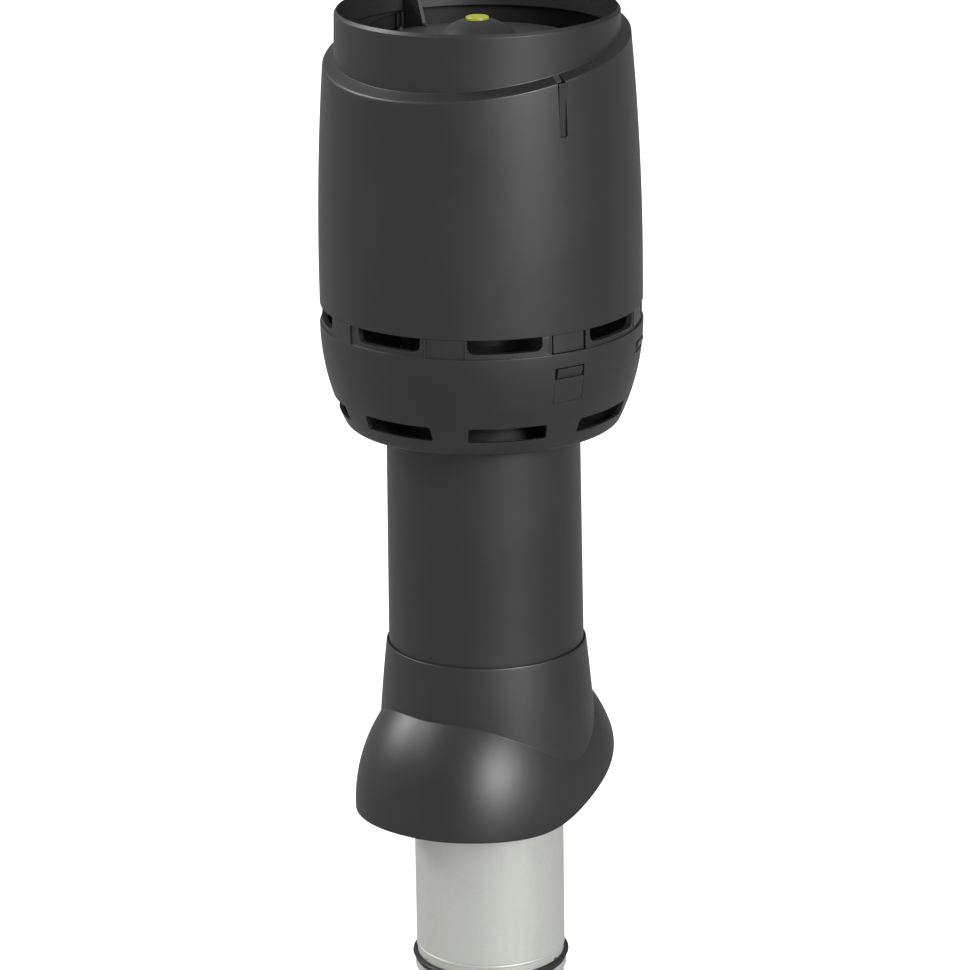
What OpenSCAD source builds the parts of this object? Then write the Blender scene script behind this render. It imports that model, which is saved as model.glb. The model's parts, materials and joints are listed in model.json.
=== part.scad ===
// Roof vent pipe with an upright cowl, a slotted bowl and a sliding roof skirt.
// Upright on +Z, +Y is uphill on the roof, and the origin is on the axis at the spigot's lower end.

/* [Duct] */
// Outer diameter of the steel duct
duct_d = 125; // [115:1:130]
// Sheet thickness of the duct
duct_wall = 0.8; // [0.6:0.1:1.5]
// Height of the duct's upper end
duct_len = 585; // [570:1:600]

/* [Spigot and gasket] */
// Sheet thickness of the spigot
spigot_wall_t = 0.8; // [0.6:0.1:1.2]
// Height of the stop bead above the lower end
bead_z = 47.1; // [44:0.1:60]
// How far the stop bead stands out of the spigot
bead_rise = 1; // [0.8:0.1:1.4]
// How far the spigot reaches into the duct
spigot_reach = 36; // [25:1:60]
// Height of the rolled groove above the lower end
rolled_z = 22.2; // [18:0.2:23]
// Height of the gasket's foot above the lower end
gasket_z = 26; // [25.5:0.5:28]
// Height of the gasket
gasket_h = 11.4; // [11:0.2:13]
// Thickness of the gasket's sleeve
gasket_wall = 1.4; // [1:0.1:2]
// How far the gasket's lip stands out of the spigot
lip_reach = 4.05; // [3:0.05:5]
// Thickness of the steel strap over the gasket
strap_t = 0.6; // [0.5:0.1:1]
// Width of the strap
strap_w = 6; // [4:0.5:6.5]

/* [Outer pipe] */
// Outer diameter of the pipe below the skirt
pipe_d = 161.2; // [158:0.2:163]
// Outer diameter of the pipe at its top
pipe_top_d = 157.4; // [156:0.2:158]
// Wall of the pipe
pipe_wall = 3; // [2:0.5:4]
// Height of the pipe's lower end
pipe_z = 205; // [195:1:215]
// Length of the pipe
pipe_len = 340; // [336:1:344]
// Length of the straight stretch at the lower end
pipe_straight = 110; // [90:5:130]
// Thickness of the end rings
ring_t = 2.5; // [2:0.5:4]

/* [Bowl] */
// Height of the bowl's underside
bowl_z = 507; // [503:1:511]
// Outer radius of the bowl's rim
bowl_r = 130.9; // [124:0.1:140]
// Height from the underside to the rim
bowl_h = 85; // [80:1:90]
// Radius of the bowl's side in section
bowl_arc = 189; // [180:1:210]
// Radius of the bowl's lower corner
bowl_corner = 7; // [5:0.5:9]
// Wall of the bowl
bowl_wall = 3; // [2.5:0.1:3.2]
// Height of the slotted band above the rim
band_h = 15.6; // [14:0.2:18]
// How far the band lies behind the rim
band_recess = 1.6; // [1:0.1:2]
// Height of the spigot above the band
spigot_h = 14; // [10:1:18]
// Wall of the hub around the pipe
hub_wall = 3; // [2.5:0.5:4]

/* [Windows] */
// Number of windows in each row
window_count = 8; // [8]
// Width of the posts between the upper windows
upper_post = 39; // [37:0.5:50]
// Height of the sill under the upper windows
upper_sill = 4; // [3:0.5:6]
// Corner radius of an upper window
upper_r = 6; // [3:0.5:6.5]
// Width of a lower window
lower_w = 63; // [50:1:66]
// Height of a lower window
lower_h = 12.3; // [8:0.1:14]
// Height of a lower window's sill above the underside
lower_sill = 13.5; // [12:0.5:16]

/* [Snap tongues] */
// Width of a tongue between the posts
tongue_w = 28.4; // [24:0.2:29]
// Width of a tongue behind the rim
tongue_low_w = 25; // [22:0.5:26]
// Thickness of a tongue
tongue_t = 2.6; // [2:0.1:3]
// Width of the snap nose
nose_w = 20; // [14:1:22]
// How far the nose stands out of the tongue
nose_reach = 4.3; // [3:0.1:4.6]
// Slit on each side of a tongue
slit = 1.5; // [1:0.1:2]

/* [Shell] */
// Height of the shell from its lower edge to the mouth
shell_h = 239; // [235:1:250]
// How far the barrel's widest place lies behind the bowl's rim
rim_step = 0.2; // [0:0.1:1]
// Height of the barrel's widest place above the lower edge
shell_belly = 22; // [15:1:40]
// Radius of the barrel's side in section
shell_arc = 2250; // [2000:10:3000]
// Wall of the shell
shell_wall = 2.9; // [2.5:0.1:3.2]
// Slope of the shell's shoulder
shoulder_tilt = 9; // [5:0.5:12]
// Height of the shoulder's edge on the axis, above the lower edge
shoulder_h = 206; // [200:1:212]
// How far the collar's foot stands inside the barrel's widest place
collar_step = 15.3; // [13.5:0.1:18]
// How far the shoulder's edge stands inside the barrel's widest place
shoulder_step = 6.4; // [5:0.1:8]
// How far the collar narrows up to the lip
collar_draft = 1.6; // [0.5:0.1:2]
// Wall of the collar
collar_wall = 2.8; // [2.4:0.1:3.2]
// Height of the chamfer on the collar's lip
lip_h = 4.8; // [3:0.1:7]
// Length of the grooves in the side
groove_len = 48; // [40:1:52]
// Width of the grooves
groove_w = 5.4; // [4:0.2:7]
// Depth of the grooves
groove_depth = 4.2; // [3:0.1:5]

/* [Rain catcher] */
// Radius of the disc
disc_r = 86; // [80:1:90]
// Height of the dome's top below the mouth
disc_drop = 9.2; // [8.5:0.1:15]
// Radius of the dome
dome_r = 42; // [38:1:48]
// Slope of the disc outside the dome
disc_slope = 5; // [3:0.5:8]
// Thickness of the disc
disc_t = 2.5; // [2:0.1:3]
// Height of the rim that hangs from the disc
disc_lip = 6; // [4:0.5:8]
// Upper radius of the core below the disc
core_r = 58; // [50:1:60]
// Height of the core
core_h = 64; // [55:1:75]
// Thickness of the stays
stay_t = 3; // [2.5:0.1:4]

/* [Button] */
// Diameter of the button
button_d = 18.5; // [16:0.5:19]
// How far the button stands out of the dome
button_rise = 3.8; // [3.6:0.1:5]
// Travel of the button
button_travel = 3; // [2:0.5:3]

/* [Nozzle] */
// Inner radius of the nozzle's mouth
nozzle_mouth_r = 52; // [46:1:56]
// Height of the nozzle's cone
nozzle_h = 90; // [70:1:100]
// Wall of the nozzle
nozzle_wall = 2.5; // [2:0.1:3]

/* [Skirt] */
// Height of the neck's top edge
neck_z = 318.5; // [315:0.5:322]
// Outer radius of the neck at its top
neck_r = 82.5; // [82.4:0.1:84]
// Height of the neck
neck_h = 93; // [92:1:98]
// Wall of the skirt
skirt_wall = 2.6; // [2:0.1:2.8]
// Half length of the dome, along the slope
dome_a = 121.2; // [118:0.1:126]
// Half width of the dome, across the slope
dome_b = 96.4; // [95:0.1:102]
// Height of the dome's ellipsoid
dome_h = 122.3; // [120:0.1:126]
// Height of the dome's widest place
dome_z = 185.4; // [182:0.1:188]
// Squareness of the dome's plan, where 2 is an ellipse
dome_square = 2.32; // [2.1:0.01:2.5]
// Slope of the roof that the lower edge follows
roof_pitch = 18.1; // [15:0.1:20]
// Mean height of the lower edge
rim_z = 201.7; // [198:0.1:206]
// Rise of the lower edge's arch, across the slope
rim_arch = 16.4; // [10:0.1:18]

/* [Hidden] */
fine = 180;
small = 48;
// Face to face seat between flat faces of one body
seat = 0.1;
// Clearance of a piece that is pushed in by hand
push = 0.3;
// Running clearance of a pin in its hole
run = 0.05;
black = [0.2, 0.2, 0.2];
rubber = [0.07, 0.07, 0.07];
steel = [0.75, 0.76, 0.74];
duct_r = duct_d / 2;
spigot_out_r = duct_r - duct_wall - run;
bead_r = 1.7;
rolled_r = 1.8;
rolled_depth = 1.3;
rivet_z = bead_z - 7.1;
rivet_azimuths = [-25, 95, 215];
pipe_r = pipe_d / 2;
pipe_top_r = pipe_top_d / 2;
pipe_top_z = pipe_z + pipe_len;
ring_skirt_h = 11;
// Height of the stretch that takes the roof's collar
collar_seat_h = 24;
pipe_taper = (pipe_r - pipe_top_r) / (pipe_len - pipe_straight);
window_step = 360 / window_count;
rim_top_z = bowl_z + bowl_h;
shell_z = rim_top_z + band_h;
mouth_z = shell_z + shell_h;
belly_z = shell_z + shell_belly;
shoulder_z = shell_z + shoulder_h;
shell_r = bowl_r - rim_step;
collar_r = shell_r - collar_step;
band_r = bowl_r - band_recess;
band_wall = 3;
upper_w = 2 * band_r * sin(window_step / 2) - upper_post;
shell_in_r = shell_r - shell_wall;
spigot_r = shell_in_r - 0.35 - pow(shell_belly, 2) / (2 * shell_arc);
spigot_wall = 2.8;
hub_r = pipe_top_r + push + pipe_taper * (pipe_top_z - bowl_z);
hub_top_z = pipe_top_z + ring_t + seat;
hub_ledge_t = 3;
nozzle_z = hub_top_z + seat + hub_ledge_t + seat;
tongue_azimuths = [67.5, 112.5, 247.5, 292.5];
groove_azimuths = [67.5, 247.5];
ribbed_azimuths = [22.5, 202.5];
flush_azimuths = [157.5, 337.5];
clip_h = 29.5;
clip_top = rim_top_z - 11.5;
clip_bottom = clip_top - clip_h;
clip_w = tongue_low_w + 2.2;
tongue_face_r = bowl_r - 4.3;
tongue_bottom = clip_bottom + 1;
nose_top = clip_top - 0.9;
nose_h = 12;
// The shoulder falls from the collar to the barrel
shoulder_fall = 4.2;
shoulder_edge_r = shell_r - shoulder_step;
groove_top_h = 4.4;
groove_rail_t = 3;
rail_w = groove_w + 3;
rail_in_r = shoulder_edge_r - groove_depth - groove_rail_t;
disc_top_z = mouth_z - disc_drop;
dome_edge = 45;
fillet_r = 14;
fillet_x = (dome_r + fillet_r) * sin(dome_edge);
fillet_z = disc_top_z - dome_r + (dome_r + fillet_r) * cos(dome_edge);
flat_x = fillet_x - fillet_r * sin(disc_slope);
flat_z = fillet_z - fillet_r * cos(disc_slope);
disc_edge_z = flat_z - (disc_r - flat_x) * tan(disc_slope);
button_r = button_d / 2;
button_top_z = disc_top_z - dome_r + sqrt(pow(dome_r, 2) - pow(button_r, 2)) + button_rise;
button_h = button_rise + button_travel + 1.5;
hub_bore_r = button_r + run;
button_seat_z = button_top_z - button_h - button_travel - 5;
button_stem_r = 4;
hub_floor_t = 3;
stem_tip_z = button_seat_z - hub_floor_t - seat - 2.95;
foot_h = 32;
foot_margin = 4;
hub_screw_z = bowl_z + 20;
stay_out_r = rail_in_r - push;
foot_t = 2.6;
screw_r = 1.8;
seal_z = neck_z - 24;
seal_h = 9;
carrier_z = seal_z - 14;
carrier_r = pipe_r + 0.4;
neck_in_r = neck_r - 1.3;
sin_corner = asin((bowl_h - bowl_corner) / (bowl_arc - bowl_corner));
corner_x = bowl_r - bowl_arc + (bowl_arc - bowl_corner) * cos(sin_corner);

// Turns what is built along +X to an azimuth, counted from downhill (-Y) towards +X
module at_azimuth(a) {
    rotate([0, 0, a - 90]) children();
}

module tube(r_out, r_in, z0, z1) {
    difference() {
        translate([0, 0, z0]) cylinder(r = r_out, h = z1 - z0, $fn = fine);
        translate([0, 0, z0 - 1]) cylinder(r = r_in, h = z1 - z0 + 2, $fn = fine);
    }
}

module revolve(n = fine) {
    rotate_extrude($fn = n) children();
}

// Upright outline with round lower corners, pushed out along +X
module radial_slot(r0, r1, z, w, h, corner) {
    translate([r0, 0, z]) rotate([90, 0, 90]) linear_extrude(height = r1 - r0) {
        translate([-w / 2, corner]) square([w, h - corner]);
        translate([-w / 2 + corner, 0]) square([w - 2 * corner, corner + 0.01]);
        for (side = [-1, 1])
            translate([side * (w / 2 - corner), corner]) circle(r = corner, $fn = small);
    }
}

module radial_bar(r0, r1, z, w, h) {
    translate([r0, -w / 2, z]) cube([r1 - r0, w, h]);
}

module radial_pin(r, x0, x1, z) {
    translate([x0, 0, z]) rotate([0, 90, 0]) cylinder(r = r, h = x1 - x0, $fn = small);
}

// Stands a radius-height outline upright along +X and gives it a width
module across(w) {
    translate([0, w / 2, 0]) rotate([90, 0, 0]) linear_extrude(height = w) children();
}

// Steel duct, its lower edge on the spigot's bead
module inner_duct() {
    foot = bead_z + bead_r + seat;
    color(steel) difference() {
        tube(duct_r, duct_r - duct_wall, foot, duct_len);
        for (a = [45 : 90 : 315])
            at_azimuth(a) radial_pin(1.65, duct_r - 5, duct_r + 5, nozzle_z + 18);
    }
}

// Steel spigot in the duct's lower end, with a stop bead and a rolled groove
module duct_spigot() {
    bead_x = spigot_out_r + bead_rise - bead_r;
    groove_x = spigot_out_r + rolled_r - rolled_depth;
    in_r = spigot_out_r - spigot_wall_t;
    color(steel) difference() {
        revolve() difference() {
            union() {
                translate([in_r, 0]) square([spigot_wall_t, bead_z + bead_r + spigot_reach]);
                translate([bead_x, bead_z]) circle(r = bead_r, $fn = small);
                intersection() {
                    translate([groove_x, rolled_z]) circle(r = rolled_r + spigot_wall_t, $fn = small);
                    translate([0, rolled_z - 6]) square([spigot_out_r, 12]);
                }
            }
            translate([groove_x, rolled_z]) circle(r = rolled_r, $fn = small);
            translate([0, bead_z - bead_r]) square([in_r - 0.01, 2 * bead_r]);
        }
        for (a = rivet_azimuths) at_azimuth(a) radial_pin(1.65, in_r - 5, duct_r + 5, rivet_z);
    }
}

// Blind rivets in the spigot, below the bead
module spigot_rivets() {
    in_r = spigot_out_r - spigot_wall_t;
    color(steel) for (a = rivet_azimuths) at_azimuth(a) difference() {
        union() {
            radial_pin(1.6, in_r - 1.2, spigot_out_r + seat + 0.3, rivet_z);
            radial_pin(2.4, spigot_out_r + seat, spigot_out_r + seat + 0.8, rivet_z);
            radial_pin(2.2, in_r - 1.4, in_r - seat, rivet_z);
        }
        radial_pin(0.9, in_r - 0.5, spigot_out_r + 5, rivet_z);
    }
}

// Rubber sleeve with a lip that stands out
module duct_gasket() {
    foot = spigot_out_r + run;
    color(rubber) revolve() translate([0, gasket_z]) polygon([
        [foot, 0], [foot + gasket_wall - 0.4, 0], [foot + gasket_wall, 1],
        [foot + gasket_wall, strap_w + 1.8], [foot + lip_reach - 0.6, gasket_h - 2.4],
        [foot + lip_reach, gasket_h - 1.8], [foot + lip_reach, gasket_h - 1],
        [foot + lip_reach - 0.5, gasket_h - 0.5], [foot + gasket_wall, gasket_h],
        [foot, gasket_h]
    ]);
}

// Steel strap over the gasket's foot
module gasket_band() {
    inner = spigot_out_r + run + gasket_wall + run;
    color(steel) {
        tube(inner + strap_t, inner, gasket_z + 1.2, gasket_z + 1.2 + strap_w);
        at_azimuth(180) radial_bar(inner + 0.1, inner + strap_t + 1.2, gasket_z + 1.7, 9, strap_w - 1);
    }
}

module pipe_2d(inset) {
    polygon([
        [0, pipe_z], [pipe_r - inset, pipe_z], [pipe_r - inset, pipe_z + pipe_straight],
        [pipe_top_r - inset, pipe_top_z], [0, pipe_top_z]
    ]);
}

// Outer plastic pipe, straight at its foot and slightly tapered above
module outer_pipe() {
    color(black) difference() {
        revolve() pipe_2d(0);
        revolve() pipe_2d(pipe_wall);
        translate([0, 0, pipe_z + collar_seat_h]) revolve() translate([pipe_r - 0.8, 0]) square([5, 2]);
        translate([0, 0, pipe_z - 1]) cylinder(r = pipe_r - pipe_wall, h = 2, $fn = fine);
        translate([0, 0, pipe_top_z - 1]) cylinder(r = pipe_top_r - pipe_wall, h = 2, $fn = fine);
        for (a = [22.5 : 90 : 292.5])
            at_azimuth(a) radial_pin(screw_r + run, pipe_top_r - 8, pipe_top_r + 5, hub_screw_z);
    }
}

module insulation_sleeve() {
    gap = pipe_wall + push;
    color([0.75, 0.68, 0.42]) difference() {
        revolve() intersection() {
            pipe_2d(gap);
            translate([0, pipe_z + ring_skirt_h + 1]) square([pipe_r, pipe_len - 3 * (ring_skirt_h + 1)]);
        }
        cylinder(r = duct_r + push, h = duct_len, $fn = fine);
    }
}

// Rings that close the insulation and centre the duct
module lower_ring() {
    color(black) {
        tube(pipe_r, duct_r + push, pipe_z - seat - ring_t, pipe_z - seat);
        tube(pipe_r - pipe_wall - push, pipe_r - pipe_wall - push - ring_t, pipe_z - seat - 0.5, pipe_z + ring_skirt_h);
        tube(duct_r + push + ring_t, duct_r + push, pipe_z - ring_skirt_h - 1, pipe_z - seat - 0.5);
    }
}

module upper_ring() {
    spigot_out = pipe_top_r - pipe_wall - push;
    color(black) {
        tube(pipe_top_r, duct_r + push, pipe_top_z + seat, pipe_top_z + seat + ring_t);
        tube(spigot_out, spigot_out - ring_t, pipe_top_z - ring_skirt_h + 1, pipe_top_z + seat + 0.5);
    }
}

// Region inside the bowl's side, drawn inwards by an inset
module bowl_2d(inset) {
    tangent = bowl_corner - (bowl_corner - inset) * sin(sin_corner);
    intersection() {
        translate([bowl_r - bowl_arc, bowl_h]) circle(r = bowl_arc - inset, $fn = 720);
        translate([0, tangent]) square([bowl_r + 5, bowl_h - tangent]);
    }
    translate([corner_x, bowl_corner]) circle(r = bowl_corner - inset, $fn = 72);
    translate([0, inset]) square([corner_x, bowl_h - inset]);
}

module bowl_shell() {
    translate([0, 0, bowl_z]) revolve() difference() {
        bowl_2d(0);
        bowl_2d(bowl_wall);
        translate([0, bowl_h - 0.5]) square([bowl_r - bowl_wall, 1]);
    }
}

// Upper and lower windows
module bowl_windows() {
    for (i = [0 : window_count - 1]) at_azimuth(i * window_step) {
        radial_slot(bowl_r - 25, bowl_r + 10, rim_top_z + upper_sill, upper_w, band_h - upper_sill + 1.2, upper_r);
        radial_slot(hub_r + hub_wall + 8, bowl_r + 10, bowl_z + lower_sill, lower_w, lower_h, 2);
    }
}

// Posts between the windows: with thin ribs, or flush with the rim
module band_posts() {
    for (a = ribbed_azimuths) for (side = [-1, 1])
        at_azimuth(a + side * 7.25)
            radial_bar(band_r - 1, band_r + 1.1, rim_top_z - 0.5, 1.6, band_h - seat + 0.5);
    for (a = flush_azimuths) at_azimuth(a) intersection() {
        radial_bar(band_r - 1, bowl_r + 3, rim_top_z - 0.5, 22, band_h - seat + 0.5);
        rotate([0, 0, 90 - a]) cylinder(r = bowl_r - 0.1, h = mouth_z, $fn = fine);
    }
    for (a = tongue_azimuths) for (side = [-1, 1]) at_azimuth(a)
        translate([0, side * (tongue_w / 2 + slit + 1), 0])
            radial_bar(band_r - 2, band_r + 0.6, rim_top_z - 0.5, 2, band_h - seat + 0.5);
}

// Slotted bowl with its neck band, spigot and hub
module cowl_bowl() {
    hub_out = hub_r + hub_wall;
    color(black) difference() {
        union() {
            bowl_shell();
            tube(band_r, band_r - band_wall, rim_top_z - 2, shell_z - seat);
            tube(spigot_r, spigot_r - spigot_wall, rim_top_z + 6, shell_z + spigot_h);
            tube(hub_out, hub_r, bowl_z, hub_top_z + seat + hub_ledge_t);
            tube(hub_out, duct_r + push, hub_top_z + seat, hub_top_z + seat + hub_ledge_t);
            for (i = [0 : window_count - 1]) at_azimuth((i + 0.5) * window_step)
                radial_bar(hub_out - 0.5, corner_x, bowl_z + 1, 2.5, 12);
            band_posts();
        }
        translate([0, 0, bowl_z - 1]) cylinder(r = hub_r, h = 10, $fn = fine);
        translate([0, 0, bowl_z + 4]) cylinder(r = hub_r + 1.7, h = 5, $fn = fine);
        bowl_windows();
        for (a = tongue_azimuths) at_azimuth(a) {
            channel = tongue_w + 2 * slit;
            radial_bar(bowl_r - 25, bowl_r + 10, rim_top_z, channel, band_h + spigot_h + 5);
            radial_bar(bowl_r - 25, bowl_r + 10, clip_bottom, clip_w, clip_top - clip_bottom);
            radial_bar(bowl_r - 25, bowl_r - bowl_wall - 0.2, clip_bottom, channel, rim_top_z - clip_bottom + 1);
        }
        for (a = [22.5 : 90 : 292.5])
            at_azimuth(a) radial_pin(screw_r + run, hub_r - 8, hub_out + 3, hub_screw_z);
    }
}

// Rubber ring in the hub's groove
module bowl_seal() {
    color(rubber) revolve() translate([hub_r - push + 0.2, bowl_z + 4.4])
        square([1.6, 4.2]);
}

// Pan-head screw that lies along +X, its head inside
module radial_screw(x_head, length, z) {
    radial_pin(screw_r, x_head - 0.2, x_head + length, z);
    radial_pin(screw_r + 1.7, x_head - 1.8, x_head, z);
}

module bowl_screws() {
    color(steel) for (a = [22.5 : 90 : 292.5]) at_azimuth(a) {
        head = hub_r + hub_wall + seat;
        radial_pin(screw_r, hub_r - push - pipe_wall - 1.5, head + 0.2, hub_screw_z);
        radial_pin(screw_r + 1.7, head, head + 2, hub_screw_z);
    }
}

// Socket around the duct with a flange on the hub and a narrowing mouth above
module jet_nozzle() {
    in_r = duct_r + push;
    socket_h = duct_len - nozzle_z + 0.3;
    color(black) difference() {
        union() {
            tube(hub_r + hub_wall - 2, in_r, nozzle_z, nozzle_z + nozzle_wall);
            translate([0, 0, nozzle_z]) revolve() difference() {
                polygon([
                    [0, 0], [in_r + nozzle_wall, 0], [in_r + nozzle_wall, socket_h],
                    [nozzle_mouth_r + nozzle_wall, socket_h + nozzle_h],
                    [nozzle_mouth_r + nozzle_wall + 2, socket_h + nozzle_h + 3],
                    [nozzle_mouth_r + nozzle_wall, socket_h + nozzle_h + 4],
                    [0, socket_h + nozzle_h + 4]
                ]);
                translate([0, -1]) square([in_r, socket_h + 1]);
                polygon([
                    [0, socket_h - 0.1], [duct_r - duct_wall, socket_h - 0.1],
                    [duct_r - duct_wall, socket_h],
                    [nozzle_mouth_r, socket_h + nozzle_h], [nozzle_mouth_r, socket_h + nozzle_h + 5],
                    [0, socket_h + nozzle_h + 5]
                ]);
            }
        }
        for (a = [45 : 90 : 315])
            at_azimuth(a) radial_pin(1.65, in_r - 5, in_r + 8, nozzle_z + 18);
    }
}

module nozzle_rivets() {
    outer = duct_r + push + nozzle_wall + seat;
    color(steel) for (a = [45 : 90 : 315]) at_azimuth(a) {
        radial_pin(1.6, duct_r - duct_wall - 1.2, outer + 0.3, nozzle_z + 18);
        radial_pin(3.2, outer, outer + 1, nozzle_z + 18);
        radial_pin(2.3, duct_r - duct_wall - 1.4, duct_r - duct_wall - seat, nozzle_z + 18);
    }
}

// Solid of revolution inside the barrel's side, drawn inwards by an inset
module barrel(inset, z0) {
    revolve() intersection() {
        translate([shell_r - shell_arc, belly_z]) circle(r = shell_arc - inset, $fn = 1440);
        translate([0, z0]) square([shell_r + 5, mouth_z - z0 - 4]);
    }
}

// Everything below the slanted shoulder, lowered by a drop
module below_shoulder(drop) {
    flank = shoulder_fall / (shoulder_edge_r - collar_r);
    deep = shoulder_h + 60;
    tip = 40;
    translate([0, 0, shoulder_z - drop]) rotate([shoulder_tilt, 0, 0]) translate([0, 0, -deep])
        cylinder(r1 = shoulder_edge_r + deep / flank, r2 = shoulder_edge_r - tip / flank,
            h = deep + tip, $fn = fine);
}

module collar_2d() {
    foot_z = shoulder_z - 30;
    lip_r = collar_r - collar_draft;
    polygon([
        [0, foot_z], [collar_r, foot_z], [lip_r, mouth_z - lip_h],
        [lip_r - 1.5, mouth_z - 0.6], [lip_r - 2, mouth_z], [0, mouth_z]
    ]);
}

module collar_bore_2d() {
    bore_r = collar_r - collar_wall;
    polygon([
        [0, shell_z - 5], [bore_r, shell_z - 5], [bore_r, mouth_z - 22],
        [bore_r - 1.2, mouth_z - 21], [bore_r - 1.2, mouth_z - 1], [bore_r - 0.7, mouth_z + 1],
        [0, mouth_z + 1]
    ]);
}

// Height of the shoulder's inner edge at an azimuth
function shoulder_top(a) = shoulder_z + shoulder_fall - collar_r * cos(a) * tan(shoulder_tilt);

// Height of a stay's foot, and of the two screws in it
function foot_z(a) = shoulder_top(a) - foot_h - 13.5;
function foot_screws(a) = [foot_z(a) + foot_margin, foot_z(a) + foot_h - foot_margin];

module groove_cut(a) {
    top = shoulder_top(a);
    at_azimuth(a) translate([shoulder_edge_r - groove_depth, 0, top - groove_len])
        rotate([90, 0, 90]) linear_extrude(height = 20) {
            translate([-groove_w / 2, groove_w / 2]) square([groove_w, groove_len - groove_w]);
            translate([0, groove_w / 2]) circle(d = groove_w, $fn = small);
            translate([0, groove_len - groove_w / 2]) circle(d = groove_w, $fn = small);
        }
}

module groove_rail(a) {
    top = shoulder_top(a);
    at_azimuth(a) radial_bar(rail_in_r, shell_in_r + 0.5, top - groove_len - 2, rail_w, groove_len + 4);
}

// Snap tongue: root inside the shell, panel between the posts, lower end behind the rim, and the nose
module snap_tongue() {
    inner = tongue_face_r - tongue_t;
    panel_r = band_r - 0.4;
    across(tongue_w) polygon([
        [inner, rim_top_z + 0.5], [panel_r, rim_top_z + 0.5], [panel_r, shell_z + 1],
        [shell_in_r + 0.6, shell_z + 1], [shell_in_r + 0.6, shell_z + spigot_h - 2.5],
        [inner, shell_z + spigot_h - 2.5]
    ]);
    across(tongue_low_w) polygon([
        [inner, tongue_bottom], [tongue_face_r, tongue_bottom],
        [tongue_face_r, rim_top_z + 1], [inner, rim_top_z + 1]
    ]);
    across(nose_w) polygon([
        [tongue_face_r - 0.5, nose_top], [tongue_face_r + nose_reach, nose_top],
        [tongue_face_r + nose_reach, nose_top - 3], [tongue_face_r, nose_top - nose_h],
        [tongue_face_r - 0.5, nose_top - nose_h]
    ]);
}

// Upper shell: barrel, slanted shoulder, upright collar, grooves and four snap tongues
module cowl_shell() {
    color(black) difference() {
        union() {
            difference() {
                union() {
                    intersection() {
                        barrel(0, shell_z);
                        below_shoulder(0);
                    }
                    revolve() collar_2d();
                }
                difference() {
                    union() {
                        intersection() {
                            barrel(shell_wall, shell_z - 1);
                            below_shoulder(3.4);
                        }
                        revolve() collar_bore_2d();
                    }
                    for (a = groove_azimuths) groove_rail(a);
                }
            }
            for (a = tongue_azimuths) at_azimuth(a) snap_tongue();
        }
        for (a = groove_azimuths) groove_cut(a);
        for (a = groove_azimuths) at_azimuth(a) for (z = foot_screws(a))
            radial_pin(screw_r + run, rail_in_r - 3, rail_in_r + groove_rail_t - 0.4, z);
    }
}

// Upper side of the disc from the button's bore to the rim
function disc_points() = concat(
    [for (r = [button_r + run : 2 : dome_r * sin(dome_edge)])
        [r, disc_top_z - dome_r + sqrt(dome_r * dome_r - r * r)]],
    [for (s = [dome_edge : -5 : disc_slope]) [fillet_x - fillet_r * sin(s), fillet_z - fillet_r * cos(s)]],
    [[disc_r - 1, disc_edge_z], [disc_r, disc_edge_z - 1]]
);

// Shallow disc with a domed middle, a hanging rim and the hub of the button
module rain_disc() {
    top = disc_points();
    count = len(top);
    hub_out = hub_bore_r + 2.5;
    under_z = disc_top_z - dome_r + sqrt(pow(dome_r, 2) - pow(hub_out, 2)) - disc_t;
    color(black) revolve() polygon(concat(
        top,
        [
            [disc_r, disc_edge_z - disc_lip], [disc_r - disc_t, disc_edge_z - disc_lip],
            [disc_r - disc_t, disc_edge_z - disc_t + (disc_t - 1) * tan(disc_slope)]
        ],
        [for (i = [count - 3 : -1 : 0]) if (top[i][0] > hub_out + 0.2) [top[i][0], top[i][1] - disc_t]],
        [
            [hub_out, under_z], [hub_out, button_seat_z - hub_floor_t],
            [button_stem_r + run, button_seat_z - hub_floor_t], [button_stem_r + run, button_seat_z],
            [hub_bore_r, button_seat_z]
        ]
    ));
}

// Hollow cone that guides the air round the disc
module flow_core() {
    top_z = flat_z - (core_r - flat_x) * tan(disc_slope) - disc_t - seat;
    wall = 2.2;
    steps = 10;
    outline = [for (i = [0 : steps]) let (s = i / steps) [core_r * cos(90 * s) + 0.001, -core_h * sin(90 * s)]];
    inset = [for (i = [0 : steps]) let (s = i / steps) [(core_r - wall) * cos(90 * s), -(core_h - wall) * sin(90 * s)]];
    color(black) translate([0, 0, top_z]) revolve() difference() {
        polygon(concat([[0, 0]], outline));
        polygon(concat([[0, 1]], [[core_r - wall, 1]], inset));
    }
}

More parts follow.
